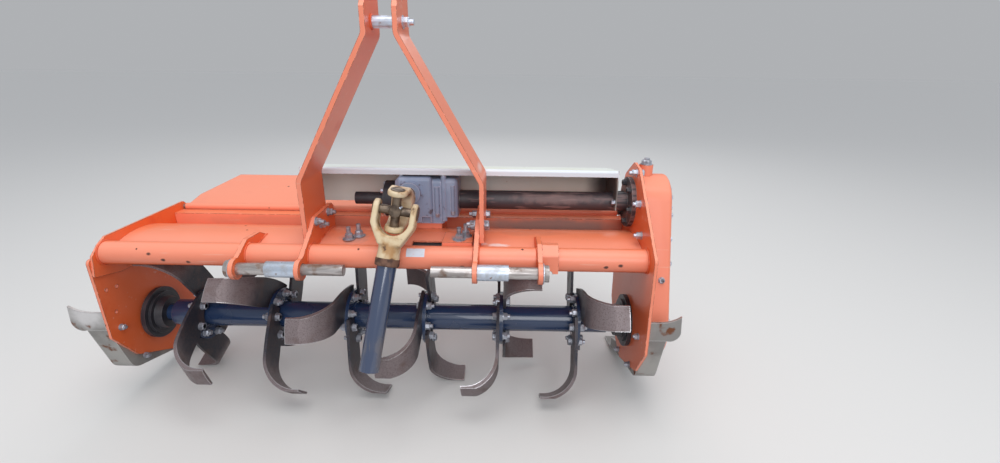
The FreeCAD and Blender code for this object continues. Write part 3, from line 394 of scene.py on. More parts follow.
def tip_mask(inner, outer):
    """White towards the blade tips, by the distance from the rotor's axis."""
    def make(build):
        position = build.add("ShaderNodeTexCoord").outputs["Object"]
        shift = build.add("ShaderNodeMapping", {"vector_type": "POINT"}, Vector=position,
                          Location=(0, -DATUM.y, -DATUM.z), Scale=(0, 1, 1))
        reach = build.add("ShaderNodeVectorMath", {"operation": "LENGTH"}, _0=shift).outputs["Value"]
        streak = build.add("ShaderNodeTexNoise", Vector=position, Scale=45.0, Detail=4.0).outputs["Fac"]
        return build.ramp(build.math("ADD", reach, build.math("MULTIPLY", streak, 0.05)), inner, outer)
    return make


def both(first, second):
    """White only where two masks are."""
    return lambda build: build.math("MULTIPLY", first(build), second(build))


rotor_paint = new_finish(
    "rotor_blue_black", (0.017, 0.038, 0.098), 0.26, coat=0.5, bump=0.010, layers=(
        (mottled(Scale=9.0, Detail=5.0, Low=0.55, High=0.8), (0.034, 0.050, 0.092), 0.45, 0.0),
        (dusty(Coverage=0.16, Patch=12.0, Walls=0.03), (0.16, 0.14, 0.13), 0.9, 0.0),
        (worn(Reach=0.002, Chips=120.0, Amount=0.42), (0.16, 0.16, 0.17), 0.4, 0.7)))
blade_steel = new_finish(
    "blade_spring_steel", (0.020, 0.024, 0.038), 0.38, metal=0.3, bump=0.02, layers=(
        (tip_mask(0.150, 0.215), (0.205, 0.165, 0.170), 0.48, 0.30),
        (mottled(Scale=24.0, Detail=6.0, Low=0.50, High=0.85), (0.120, 0.072, 0.062), 0.65, 0.1),
        (mottled(Scale=420.0, Detail=3.0, Low=0.50, High=0.66), (0.105, 0.075, 0.072), 0.65, 0.1),
        (both(tip_mask(0.185, 0.250), worn(Reach=0.0035, Chips=9.0, Amount=0.80)), (0.66, 0.65, 0.67), 0.25,
         1.0)))

# %% [markdown]
# The castings each have their own skin: a satin blue-grey on the gearbox, flat black on the bearing housings and
# the drive tube, and a yellow primer with rust coming through on the joint yokes.

# %% Castings
grey_cast = new_finish(
    "gearbox_blue_grey", (0.25, 0.31, 0.44), 0.36, bump=0.05, grain=520.0, layers=(
        (mottled(Scale=14.0, Detail=5.0, Low=0.45, High=0.7), (0.33, 0.40, 0.54), 0.42, 0.0),
        (mottled(Scale=50.0, Detail=6.0, Low=0.62, High=0.75), (0.12, 0.10, 0.13), 0.7, 0.0),
        (dusty(Coverage=0.22, Patch=14.0, Walls=0.04), (0.40, 0.37, 0.36), 0.9, 0.0),
        (worn(Reach=0.005, Chips=30.0, Amount=0.72), (0.50, 0.51, 0.62), 0.35, 0.3)))
black_cast = new_finish(
    "bearing_black", (0.030, 0.028, 0.036), 0.42, bump=0.03, grain=420.0, layers=(
        (mottled(Scale=11.0, Detail=5.0, Low=0.5, High=0.72), (0.070, 0.062, 0.070), 0.6, 0.0),
        (dusty(Coverage=0.24, Patch=10.0, Walls=0.08), (0.13, 0.11, 0.10), 0.92, 0.0),
        (worn(Reach=0.003, Chips=100.0, Amount=0.42), (0.14, 0.14, 0.15), 0.4, 0.6)))
drive_black = new_finish(
    "drive_tube_black", (0.050, 0.042, 0.050), 0.46, bump=0.02, layers=(
        (scuffed(Long=9.0, Fine=90.0, Amount=0.62), (0.17, 0.12, 0.12), 0.62, 0.0),
        (marked((430, 68, 352), (150, 16, 24), 1.4, 30.0, 0.55), (0.26, 0.17, 0.16), 0.75, 0.0),
        (dusty(Coverage=0.26, Patch=16.0, Walls=0.08), (0.24, 0.175, 0.165), 0.9, 0.0),
        (worn(Reach=0.004, Chips=70.0, Amount=0.55), (0.26, 0.24, 0.24), 0.4, 0.5)))
yellow_cast = new_finish(
    "yoke_yellow_primer", (0.62, 0.49, 0.31), 0.50, bump=0.07, grain=230.0, layers=(
        (mottled(Scale=18.0, Detail=5.0, Low=0.46, High=0.74), (0.69, 0.58, 0.42), 0.6, 0.0),
        (mottled(Scale=22.0, Detail=7.0, Low=0.49, High=0.68), (0.40, 0.22, 0.09), 0.65, 0.0),
        (marked((20, -140, 360), (40, 46, 34), 1.6, 50.0, 0.75), (0.34, 0.17, 0.065), 0.55, 0.0),
        (marked((30, -118, 396), (70, 50, 24), 1.9, 34.0, 0.75), (0.17, 0.085, 0.045), 0.7, 0.0),
        (mottled(Scale=44.0, Detail=6.0, Low=0.60, High=0.70), (0.11, 0.060, 0.035), 0.75, 0.0),
        (dusty(Coverage=0.26, Patch=25.0, Walls=0.06), (0.38, 0.29, 0.20), 0.9, 0.0),
        (worn(Reach=0.004, Chips=45.0, Amount=0.50), (0.16, 0.085, 0.045), 0.7, 0.2)))

# %% [markdown]
# The rest are lesser finishes: white enamel on the guard, zinc on pins and bolts, worn grey on the skids, glossy
# black on the half shaft, greasy steel on the cross and a plain white label that has lost its print.

# %% Lesser finishes
white = new_finish(
    "guard_white", (0.70, 0.74, 0.70), 0.40, coat=0.1, bump=0.008, layers=(
        (mottled(Scale=4.0, Detail=5.0, Low=0.48, High=0.75), (0.64, 0.66, 0.57), 0.5, 0.0),
        # Painted shade: near-black on the faces inside the guard's right end that look left and to the front.
        (both(facing((-0.707, -0.707, 0)), marked((600, 130, 360), (75, 150, 120), 0.35, 14.0, 0.95)),
         (0.045, 0.042, 0.045), 0.8, 0.0),
        # Painted sky light: a bluish-white tint along the guard's front lip.
        (marked((156, 41, 427), (1000, 14, 24), 0.1, 20.0), (0.66, 0.71, 0.77), 0.4, 0.0),
        (dusty(Coverage=0.24, Patch=8.0, Walls=0.03), (0.44, 0.37, 0.31), 0.9, 0.0),
        (speckled(Scale=38.0, Share=0.10, Size=0.15), (0.22, 0.13, 0.08), 0.8, 0.0),
        (worn(Reach=0.002, Chips=80.0, Amount=0.34), (0.24, 0.14, 0.09), 0.75, 0.1)))
zinc = new_finish(
    "zinc_plate", (0.58, 0.66, 0.78), 0.36, metal=0.85, bump=0.012, layers=(
        (mottled(Scale=42.0, Detail=4.0, Low=0.45, High=0.7), (0.44, 0.46, 0.50), 0.46, 0.8),
        (mottled(Scale=65.0, Detail=6.0, Low=0.62, High=0.74), (0.22, 0.12, 0.07), 0.8, 0.1)))
bolt_steel = new_finish(
    "bolt_oiled_steel", (0.44, 0.46, 0.52), 0.36, metal=0.6, bump=0.015, layers=(
        (mottled(Scale=50.0, Detail=5.0, Low=0.46, High=0.70), (0.20, 0.20, 0.23), 0.5, 0.5),
        (mottled(Scale=80.0, Detail=5.0, Low=0.62, High=0.72), (0.18, 0.11, 0.085), 0.8, 0.1)))
pin_steel = new_finish(
    "pin_dull_steel", (0.33, 0.30, 0.29), 0.45, metal=0.75, bump=0.03, layers=(
        (scuffed(Long=9.0, Fine=60.0, Amount=0.8), (0.52, 0.49, 0.48), 0.36, 0.9),
        (mottled(Scale=30.0, Detail=6.0, Low=0.52, High=0.7), (0.17, 0.095, 0.06), 0.8, 0.1)))
skid_grey = new_finish(
    "skid_worn_grey", (0.25, 0.24, 0.23), 0.5, metal=0.3, bump=0.02, layers=(
        (mottled(Scale=9.0, Detail=6.0, Low=0.45, High=0.7), (0.40, 0.39, 0.37), 0.5, 0.4),
        (marked((-800, -150, 84), (70, 44, 52), 0.6, 30.0, 0.85), (0.68, 0.66, 0.66), 0.45, 0.1),
        (mottled(Scale=28.0, Detail=6.0, Low=0.58, High=0.7), RUST, 0.85, 0.0),
        (dusty(Coverage=0.4, Patch=9.0, Walls=0.2), SOIL, 0.92, 0.0),
        (worn(Reach=0.004, Chips=60.0, Amount=0.6), (0.55, 0.55, 0.55), 0.35, 0.9)))
shaft_black = new_finish(
    "half_shaft_gloss_black", (0.044, 0.062, 0.116), 0.16, coat=0.8, bump=0.004, layers=(
        (mottled(Scale=10.0, Detail=6.0, Low=0.52, High=0.9), (0.062, 0.074, 0.115), 0.25, 0.0),
        (scuffed(Long=150.0, Fine=2.5, Amount=0.48), (0.11, 0.10, 0.11), 0.45, 0.0),
        (marked((-6, -262, 40), (16, 60, 60), 1.1, 30.0, 0.4), (0.15, 0.12, 0.11), 0.7, 0.0),
        (worn(Reach=0.002, Chips=80.0, Amount=0.42), (0.20, 0.15, 0.13), 0.5, 0.4)))
greasy_steel = new_finish(
    "cross_greasy_steel", (0.20, 0.15, 0.11), 0.35, metal=0.6, bump=0.03, layers=(
        (mottled(Scale=40.0, Detail=6.0, Low=0.45, High=0.65), (0.055, 0.035, 0.024), 0.55, 0.1),))
rusty_steel = new_finish(
    "rusty_steel", (0.17, 0.085, 0.055), 0.7, metal=0.2, bump=0.05, layers=(
        (mottled(Scale=60.0, Detail=6.0, Low=0.45, High=0.65), (0.07, 0.035, 0.025), 0.8, 0.1),))
label_white = new_finish(
    "blank_label", (0.62, 0.66, 0.74), 0.45, bump=0.004, layers=(
        (mottled(Scale=30.0, Detail=5.0, Low=0.5, High=0.7), (0.50, 0.50, 0.54), 0.55, 0.0),
        (scuffed(Long=30.0, Fine=90.0, Amount=0.6), (0.72, 0.36, 0.30), 0.6, 0.0)))

# %% [markdown]
# Each solid already knows its slot in the record, such as orange paint or zinc. A table from slot to finish paints
# them all. A few solids look different from the rest of their slot and are named on their own.

# %% Paint the solids
SLOT_FINISH = {
    "orange_paint": orange, "rotor_paint": rotor_paint, "blade_steel": blade_steel, "black_cast": black_cast,
    "grey_paint": grey_cast, "skid_steel": skid_grey, "white_paint": white, "zinc": zinc,
    "yellow_cast": yellow_cast, "shaft_steel": greasy_steel, "black_paint": shaft_black}
OWN_FINISH = {"drive_tube": drive_black, "cap_right": grey_cast, "pin_left": pin_steel, "pin_right": pin_steel,
              "hinge_rod": pin_steel}

for part in frame["record"]["subparts"]:
    node = nodes[part["node"]]
    finish = OWN_FINISH.get(part["node"], SLOT_FINISH[part["material_slot"]])
    node.data.materials.clear()
    node.data.materials.append(finish)

# %% [markdown]
# The joint yokes are rough castings, and their solids have sharper corners than a casting can have. A copy of each
# is merged, meshed again in small even cells and smoothed, which rounds every corner a little and fills the
# hollows as a foundry's fillets do. The copy then takes the solid's place on the same body.

# %% Soften the cast yokes


def soften_casting(node_name, body, finish, cell=2.0, rounds=36):
    """A copy of a solid with rounded corners that takes its place."""
    solid = nodes[node_name]
    shape = bmesh.new()
    shape.from_mesh(solid.data)
    bmesh.ops.remove_doubles(shape, verts=shape.verts, dist=1e-5)
    mesh = bpy.data.meshes.new(f"{node_name}_casting")
    shape.to_mesh(mesh)
    shape.free()
    rough = bpy.data.objects.new(f"{node_name}_rough", mesh)
    bpy.context.scene.collection.objects.link(rough)
    remesh = rough.modifiers.new("even_cells", "REMESH")
    remesh.mode = "VOXEL"
    remesh.voxel_size = cell * MM
    remesh.use_smooth_shade = True
    smooth = rough.modifiers.new("foundry_fillets", "SMOOTH")
    smooth.factor = 0.5
    smooth.iterations = rounds
    bpy.context.view_layer.update()
    soft = bpy.data.meshes.new_from_object(rough.evaluated_get(bpy.context.evaluated_depsgraph_get()))
    soft.materials.clear()
    soft.materials.append(finish)
    casting = bpy.data.objects.new(f"{node_name}_casting", soft)
    bpy.context.scene.collection.objects.link(casting)
    bpy.data.objects.remove(rough)
    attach(casting, body)
    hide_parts(node_name)
    print(casting.name, len(soft.polygons), "faces")


soften_casting("input_yoke", "root", yellow_cast)
soften_casting("lower_yoke", "half_shaft", yellow_cast)

# %% [markdown]
# Bolts hold the machine together, and there are well over a hundred. Each is a hexagon head with a chamfer, on a
# washer, and a nut also shows the end of its thread. Geometry Nodes set one on every point of a small cloud: the
# tree reads which way each point faces, turns each head by chance, and makes the result real.

# %% The tree that sets fasteners


def node_tree(name, sockets):
    """An empty geometry tree with named inputs, and its builder."""
    tree = bpy.data.node_groups.new(name, "GeometryNodeTree")
    tree.interface.new_socket("Geometry", in_out="INPUT", socket_type="NodeSocketGeometry")
    for label, (kind, value) in sockets.items():
        socket = tree.interface.new_socket(label, in_out="INPUT", socket_type=f"NodeSocket{kind}")
        if value is not None:
            socket.default_value = value
    tree.interface.new_socket("Geometry", in_out="OUTPUT", socket_type="NodeSocketGeometry")
    build = Tree(tree)
    return tree, build, build.add("NodeGroupInput").outputs, build.add("NodeGroupOutput").inputs


fastener_tree, build, given, result = node_tree("fasteners", {
    "Flats": ("Float", 0.017), "Head": ("Float", 0.009), "Washer": ("Float", 0.013), "Thread": ("Float", 0.0),
    "Seed": ("Int", 3), "Finish": ("Material", None)})
corner = build.math("DIVIDE", given["Flats"], math.sqrt(3))
body_high = build.math("MULTIPLY", given["Head"], 0.78)
chamfer_high = build.math("MULTIPLY", given["Head"], 0.22)
WASHER_THICK = 0.002
washer = build.add("GeometryNodeMeshCylinder", Vertices=20, Radius=given["Washer"], Depth=WASHER_THICK)
washer_up = build.add("GeometryNodeTransform", Geometry=washer, Translation=(0, 0, WASHER_THICK / 2))
prism = build.add("GeometryNodeMeshCylinder", Vertices=6, Radius=corner, Depth=body_high)
prism_height = build.add("ShaderNodeCombineXYZ",
                         Z=build.math("ADD", build.math("MULTIPLY", body_high, 0.5), WASHER_THICK))
prism_up = build.add("GeometryNodeTransform", Geometry=prism, Translation=prism_height)
crown = build.add("GeometryNodeMeshCone", Vertices=6, Radius_Bottom=corner,
                  Radius_Top=build.math("MULTIPLY", corner, 0.84), Depth=chamfer_high)
crown_height = build.add("ShaderNodeCombineXYZ", Z=build.math("ADD", body_high, WASHER_THICK))
crown_up = build.add("GeometryNodeTransform", Geometry=crown, Translation=crown_height)
thread = build.add("GeometryNodeMeshCylinder", Vertices=14, Radius=build.math("MULTIPLY", given["Flats"], 0.32),
                   Depth=given["Thread"])
thread_height = build.add("ShaderNodeCombineXYZ", Z=build.math(
    "ADD", build.math("ADD", given["Head"], WASHER_THICK), build.math("MULTIPLY", given["Thread"], 0.5)))
thread_up = build.add("GeometryNodeTransform", Geometry=thread, Translation=thread_height)
one = build.add("GeometryNodeJoinGeometry")
for shape in (washer_up, prism_up, crown_up, thread_up):
    build.tree.links.new(shape.outputs["Geometry"], one.inputs[0])
facing = build.add("GeometryNodeInputNamedAttribute", {"data_type": "FLOAT_VECTOR"}, Name="facing")
aim = build.add("FunctionNodeAlignRotationToVector", {"axis": "Z"}, Vector=facing.outputs["Attribute"])
chance = build.add("FunctionNodeRandomValue", {"data_type": "FLOAT"}, Seed=given["Seed"])
build.feed(chance.inputs[3], math.pi)
spin = build.add("FunctionNodeAxisAngleToRotation", Axis=(0, 0, 1), Angle=chance.outputs[1])
turned = build.add("FunctionNodeRotateRotation", {"rotation_space": "LOCAL"}, Rotation=aim, Rotate_By=spin)
placed = build.add("GeometryNodeInstanceOnPoints", Points=given["Geometry"], Instance=one, Rotation=turned)
real = build.add("GeometryNodeRealizeInstances", Geometry=placed)
build.feed(result["Geometry"], build.add("GeometryNodeSetMaterial", Geometry=real, Material=given["Finish"]))

# %% [markdown]
# One function runs any such tree on a carrier mesh. It sets the inputs by their identifiers, turns the result
# into a plain mesh and lets that mesh ride on its body.

# %% Run a tree and keep its mesh


def grow(name, carrier, tree, body, slot=None, **inputs):
    """The plain mesh that a tree makes of a carrier mesh, riding on a body."""
    source = bpy.data.objects.new(f"{name}_carrier", carrier)
    bpy.context.scene.collection.objects.link(source)
    modifier = source.modifiers.new("grow", "NODES")
    modifier.node_group = tree
    keys = {item.name: item.identifier for item in tree.interface.items_tree if item.in_out == "INPUT"}
    for label, value in inputs.items():
        modifier[keys[label]] = value
    bpy.context.view_layer.update()
    evaluated = source.evaluated_get(bpy.context.evaluated_depsgraph_get())
    mesh = bpy.data.meshes.new_from_object(evaluated)
    piece = bpy.data.objects.new(name, mesh)
    bpy.context.scene.collection.objects.link(piece)
    bpy.data.objects.remove(source)
    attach(piece, body)
    return piece


def point_cloud(name, seats):
    """A mesh of bare points, each with the direction that it faces."""
    mesh = bpy.data.meshes.new(name)
    mesh.from_pydata([point for point, _ in seats], [], [])
    faces = mesh.attributes.new("facing", "FLOAT_VECTOR", "POINT")
    for number, (_, direction) in enumerate(seats):
        faces.data[number].vector = direction
    return mesh


def fasten(name, seats, body="root", flats=17, head=9, washer=13, thread=0, finish=zinc, seed=3):
    """Bolt heads or nuts on seats, each a (point, direction), with sizes in millimetres."""
    piece = grow(name, point_cloud(f"{name}_points", seats), fastener_tree, body, "zinc", Flats=flats * MM,
                 Head=head * MM, Washer=washer * MM, Thread=thread * MM, Seed=seed, Finish=finish)
    print(name, len(seats), "fasteners,", len(piece.data.polygons), "faces")


def ring_seats(x, y, z, radius, count, way, phase=0.0):
    """Seats on a circle round a line along X, that face one way along it."""
    turns = [math.radians(phase) + math.tau * number / count for number in range(count)]
    return [(at(x, y + radius * math.cos(turn), z + radius * math.sin(turn)), (way, 0, 0)) for turn in turns]


# %% [markdown]
# Two bolts hold each blade on its flange, twenty-four blades in all. Blades of one hand sit on the right face and
# the others on the left, a quarter turn apart, and each flange is turned a little against its neighbour so that
# the blades enter the soil one after another. The heads lie on the blade and the nuts on the bare flange behind.

# %% Blade bolts
FLANGE_HALF, BLADE_FACE = 5, 13
PHASE, STEP = 200, 26
BLADE_BOLTS = ((61, 23), (67, 76))
heads, nuts = [], []
for number in range(6):
    flange_x = (centre(f"blades_{number + 1}").x - DATUM.x) / MM
    for hand, first_tip in ((1, 0), (-1, 90)):
        for tip in (first_tip, first_tip + 180):
            for radius, local in BLADE_BOLTS:
                turn = math.radians(local + tip + PHASE + STEP * number - 90)
                y, z = radius * math.cos(turn), radius * math.sin(turn)
                heads.append((at(flange_x + hand * BLADE_FACE, y, z), (hand, 0, 0)))
                nuts.append((at(flange_x - hand * FLANGE_HALF, y, z), (-hand, 0, 0)))
fasten("blade_bolt_heads", heads, "rotor", flats=19, head=10, washer=12, finish=bolt_steel)
fasten("blade_bolt_nuts", nuts, "rotor", flats=19, head=11, washer=12, thread=7, finish=bolt_steel, seed=8)

# %% [markdown]
# The frame's own bolts hold the skids, the bearings, the mast feet, the gearbox and the chain case. Their seats
# are listed by place and by the way they face. A bolt through a plate gets a head on one side and a nut on the
# other.

# %% Frame bolts
X, Y, Z = Vector((1, 0, 0)), Vector((0, 1, 0)), Vector((0, 0, 1))
heads, nuts, skid_nuts = [], [], []
for y, z in ((-134, 27), (40, -127), (-84, -96)):
    heads += [(at(-763, y, z), -X), (at(660, y, z), X)]
    skid_nuts += [(at(-749, y, z), X), (at(646, y, z), -X)]
fasten("skid_nuts", skid_nuts, flats=14, head=9, washer=9, thread=4, finish=bolt_steel, seed=7)
heads += ring_seats(-763, 0, 0, 59, 6, -1, 30)
for y, z in ((50, 430), (-15, 359.5), (-56, 285.5)):
    nuts.append((at(646, y, z), -X))
    heads.append((at(654, y, z), X))
fasten("plate_bolts", heads, flats=17, head=9, washer=11)
fasten("plate_nuts", nuts, flats=17, head=12, washer=11, thread=7, seed=5)

mast_bolts = [(sign * 232, y, z, sign) for sign in (-1, 1) for y, z in ((14, 316), (-44, 300), (-72, 316))]
fasten("mast_bolts", [(at(x, y, z), sign * X) for x, y, z, sign in mast_bolts], flats=17, head=10, washer=12,
       finish=bolt_steel)
fasten("mast_nuts", [(at(x - sign * 24, y, z), -sign * X) for x, y, z, sign in mast_bolts], flats=17, head=12,
       washer=12, thread=8, finish=bolt_steel, seed=6)
fasten("link_bolt", [(at(-42, -48, 797), -X)], flats=22, head=11, washer=15)
fasten("link_nut", [(at(42, -48, 797), X)], flats=22, head=14, washer=15, thread=10, seed=9)

# %% [markdown]
# Round cases are closed with rings of smaller bolts: the chain case cover, the flange of the drive tube and the
# caps of the gearbox. The gearbox itself stands on four long studs whose threads show well above their nuts.

# %% Case, gearbox and deck bolts
CASE_FACE = 742
case_seats = ring_seats(CASE_FACE, 0, 0, 68, 12, 1)[5:12] + ring_seats(CASE_FACE, 92, 336, 54, 12, 1)[0:7]
case_seats += [(at(CASE_FACE, 26 + side, 168 + rise), X) for side, rise in ((-40, 20), (-20, 86), (0, 150),
                                                                           (84, -58), (102, 10), (120, 76))]
fasten("case_bolts", case_seats, flats=13, head=6, washer=10)
fasten("oil_level_plug", [(at(716, -51.8, 154.4), Vector((0, -0.953, 0.302)))], flats=15, head=6, washer=9,
       finish=bolt_steel)
fasten("drive_flange_bolts", ring_seats(634, 92, 336, 56, 6, -1, 10), flats=15, head=9, washer=12,
       finish=black_cast)
small = ring_seats(-60, 92, 336, 42, 6, -1, 15)
small += [(at(-8, 56, 412), Z), (at(112, 51, 414), Z), (at(112, 146, 408), Z), (at(93, 150, 384), Z),
          (at(93, 46, 306), -Z), (at(138, 40, 315), -Z), (at(593, 52, 345), -X)]
small += [(at(x, 52, 292), -Y) for x in (-10, 30)] + [(at(x, 187, 405), -Y) for x in (-240, -120, 250, 400)]
fasten("gearbox_bolts", small, flats=12, head=8, washer=7, seed=4)
fasten("filler_plug", [(at(681, 92, 446), Z)], flats=24, head=11, washer=17, thread=5, finish=bolt_steel)
studs = [(at(-134, -48, 260), Z), (at(-112, -30, 262.5), Z), (at(166, -78, 274), Z), (at(181, -50, 274), Z)]
fasten("gearbox_studs", studs, flats=19, head=14, washer=17, thread=18, finish=bolt_steel)

# %% [markdown]
# Welds join the plates to the tube and the deck. A bead is a row of small ripples, so its path is resampled in
# short steps, its radius swings with the ripples and wanders with noise, and a small ring is swept along it.
# The orange beads get a plain coat without the edge wear, because on a bead that thin all of it would count as edge.

# %% The tree that lays weld beads
weld_tree, build, given, result = node_tree("weld_beads", {
    "Radius": ("Float", 0.003), "Ripple": ("Float", 0.005), "Step": ("Float", 0.0016), "Finish": ("Material", None)})
path = build.add("GeometryNodeMeshToCurve", Mesh=given["Geometry"])
even = build.add("GeometryNodeResampleCurve", {"mode": "LENGTH"}, Curve=path, Length=given["Step"])
run = build.add("GeometryNodeSplineParameter").outputs["Length"]
wave = build.math("SINE", build.math("DIVIDE", build.math("MULTIPLY", run, math.tau), given["Ripple"]))
drift = build.add("ShaderNodeTexNoise", Vector=build.add("GeometryNodeInputPosition"), Scale=70.0, Detail=3.0)
swell = build.math("MULTIPLY_ADD", wave, 0.13, build.math("MULTIPLY_ADD", drift.outputs["Fac"], 0.9, 0.55))
shaped = build.add("GeometryNodeSetCurveRadius", Curve=even, Radius=swell)
ring = build.add("GeometryNodeCurvePrimitiveCircle", Resolution=7, Radius=given["Radius"])
bead = build.add("GeometryNodeCurveToMesh", Curve=shaped, Profile_Curve=ring, Fill_Caps=True)
smooth = build.add("GeometryNodeSetShadeSmooth", Geometry=bead)
real = build.add("GeometryNodeRealizeInstances", Geometry=smooth)
build.feed(result["Geometry"], build.add("GeometryNodeSetMaterial", Geometry=real, Material=given["Finish"]))
orange_bead = new_finish(
    "orange_over_weld", (0.70, 0.105, 0.034), 0.45, bump=0.01, layers=(
        (mottled(Scale=60.0, Detail=5.0, Low=0.45, High=0.7), (0.78, 0.20, 0.10), 0.5, 0.0),
        (mottled(Scale=35.0, Detail=5.0, Low=0.60, High=0.75), (0.24, 0.085, 0.045), 0.8, 0.0)))

# %% [markdown]
# The beads run where two parts really meet: round the tube's ends, along the lug plates over the tube and the
# deck, along the deck's front and back edges in stitches, round the spacer, and round every flange on the rotor.
# A path is a list of points, and a full circle is a closed one.

# %% Weld beads


def arc(x, y, z, radius, start, stop):
    """Points on a circle round a line along X, from one angle to another in degrees."""
    count = max(8, int(abs(stop - start) / 6))
    turns = [math.radians(start + (stop - start) * number / count) for number in range(count + 1)]
    return [at(x, y + radius * math.cos(turn), z + radius * math.sin(turn)) for turn in turns]


def lay_beads(name, paths, body, radius, finish, slot):
    """Weld beads along open paths and full circles."""
    places, edges = [], []
    for points in paths:
        closed = (points[0] - points[-1]).length < 1e-6
        kept = points[:-1] if closed else points
        first = len(places)
        places += kept
        edges += [(first + number, first + number + 1) for number in range(len(kept) - 1)]
        if closed:
            edges.append((first + len(kept) - 1, first))
    mesh = bpy.data.meshes.new(f"{name}_paths")
    mesh.from_pydata(places, edges, [])
    piece = grow(name, mesh, weld_tree, body, slot, Radius=radius * MM, Ripple=0.0055, Step=0.0018, Finish=finish)
    print(name, len(paths), "beads,", len(piece.data.polygons), "faces")


TUBE_Y, TUBE_Z = -120, 240
frame_welds = [arc(-741.5, TUBE_Y, TUBE_Z, 31, 0, 360), arc(644.5, TUBE_Y, TUBE_Z, 31, 0, 360)]
for lug_x, deck_end in ((373, 95.8), (214, 77.2)):
    for face in (-6.5, 6.5):
        for side in (-1, 1):
            x = side * lug_x + face
            frame_welds += [arc(x, TUBE_Y, TUBE_Z, 31, 26, 210), arc(x, 0, 0, 265, 110, deck_end)]
for start in range(-715, 600, 118):
    frame_welds.append([at(start, -92, 249.5), at(start + 66, -92, 249.5)])
    frame_welds.append([at(start, 150.5, 218.5), at(start + 66, 150.5, 218.5)])
frame_welds += [arc(x, -48, 797, 15, 0, 360) for x in (-28.8, 28.8)]
lay_beads("frame_welds", frame_welds, "root", 2.6, orange_bead, "orange_paint")
rotor_welds = [arc(centre(f"blades_{number}").x / MM - DATUM.x / MM + side, 0, 0, 39, 0, 360)
               for number in range(1, 7) for side in (-6.2, 6.2)]
lay_beads("rotor_welds", rotor_welds, "rotor", 2.8, rotor_paint, "rotor_paint")

# %% [markdown]
# Turned pieces are made as on a lathe: a profile goes round an axis. They are the pin washers, the caps that close
# the bearings of the universal joint, the cover of the left bearing and a grease nipple. The profile is a closed
# ring of radius and distance along the axis, and the ends that meet the axis are merged into one point.

# %% Turned pieces


def turned_piece(name, profile, spots, body, finish, count=32):
    """One mesh of a profile turned round each (point, direction) spot, sizes in millimetres."""
    shape = bmesh.new()
    for point, direction in spots:
        axis = Vector(direction).normalized()
        out = axis.orthogonal().normalized()
        over = axis.cross(out)
        rings = []
        for number in range(count):
            turn = math.tau * number / count
            spoke = out * math.cos(turn) + over * math.sin(turn)
            rings.append([shape.verts.new(point + (spoke * radius + axis * along) * MM)
                          for radius, along in profile])
        for number in range(count):
            here, there = rings[number], rings[(number + 1) % count]
            for step in range(len(profile)):
                following = (step + 1) % len(profile)
                shape.faces.new((here[step], here[following], there[following], there[step]))
    bmesh.ops.remove_doubles(shape, verts=shape.verts, dist=1e-6)
    bmesh.ops.dissolve_degenerate(shape, edges=shape.edges, dist=1e-7)
    bmesh.ops.recalc_face_normals(shape, faces=shape.faces)
    mesh = bpy.data.meshes.new(name)
    shape.to_mesh(mesh)
    shape.free()
    mesh.materials.append(finish)
    piece = bpy.data.objects.new(name, mesh)
    scene_pieces.objects.link(piece)
    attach(piece, body)
    print(name, len(spots), "turned,", len(mesh.polygons), "faces")


scene_pieces = bpy.context.scene.collection
WASHER = ((17, 0), (25, 0), (26, 1), (26, 2.4), (25, 3), (17, 3))
turned_piece("pin_washers", WASHER, [(at(side * 379, -184, 229), side * X) for side in (-1, 1)], "root", zinc)
COVER = ((0, 0), (71, 0), (72, 1), (72, 5), (71, 6), (50, 6.5), (47, 9), (45, 16), (40, 21), (28, 24), (0, 25))
turned_piece("bearing_cover", COVER, [(at(-757, 0, 0), -X)], "root", black_cast, 48)

ROLL_OF_JOINT = math.radians(9)
UP_EYES = Vector((math.sin(ROLL_OF_JOINT), 0, math.cos(ROLL_OF_JOINT)))
SIDE_EYES = Vector((math.cos(ROLL_OF_JOINT), 0, -math.sin(ROLL_OF_JOINT)))
JOINT = at(20, -140, 370)
EYE_CAP = ((0, 52.6), (14.5, 52.6), (14.5, 53.4), (17, 53.4), (17.6, 54.0), (17, 54.8), (14, 55), (12.6, 54.2),
           (11, 53.9), (4, 54.3), (0, 54.3))
turned_piece("input_yoke_caps", EYE_CAP, [(JOINT, UP_EYES), (JOINT, -UP_EYES)], "root", greasy_steel,
             24)
turned_piece("lower_yoke_caps", EYE_CAP, [(JOINT, SIDE_EYES), (JOINT, -SIDE_EYES)], "half_shaft", greasy_steel,
             24)
BLOCK = ((0, -14), (13, -14), (16, -11), (17, 0), (16, 11), (13, 14), (0, 14))
turned_piece("cross_block", BLOCK, [(JOINT, Y)], "cross", greasy_steel, 24)
NIPPLE = ((0, 15), (3.6, 15), (3.6, 19), (2.4, 20), (1.7, 22), (2.6, 24), (2.0, 25.5), (0, 26))
turned_piece("grease_nipple", NIPPLE, [(JOINT, UP_EYES + SIDE_EYES - 0.7 * Y)], "cross", zinc, 12)
SHAFT_LEAN = math.radians(20.5)
SHAFT_LINE = -math.cos(SHAFT_LEAN) * UP_EYES - math.sin(SHAFT_LEAN) * Y
COLLAR = ((24.5, 117), (28.8, 117), (29.6, 119), (29.6, 133), (28.5, 135.5), (24.5, 136.5))
turned_piece("rusty_collar", COLLAR, [(JOINT, SHAFT_LINE)], "half_shaft", rusty_steel)
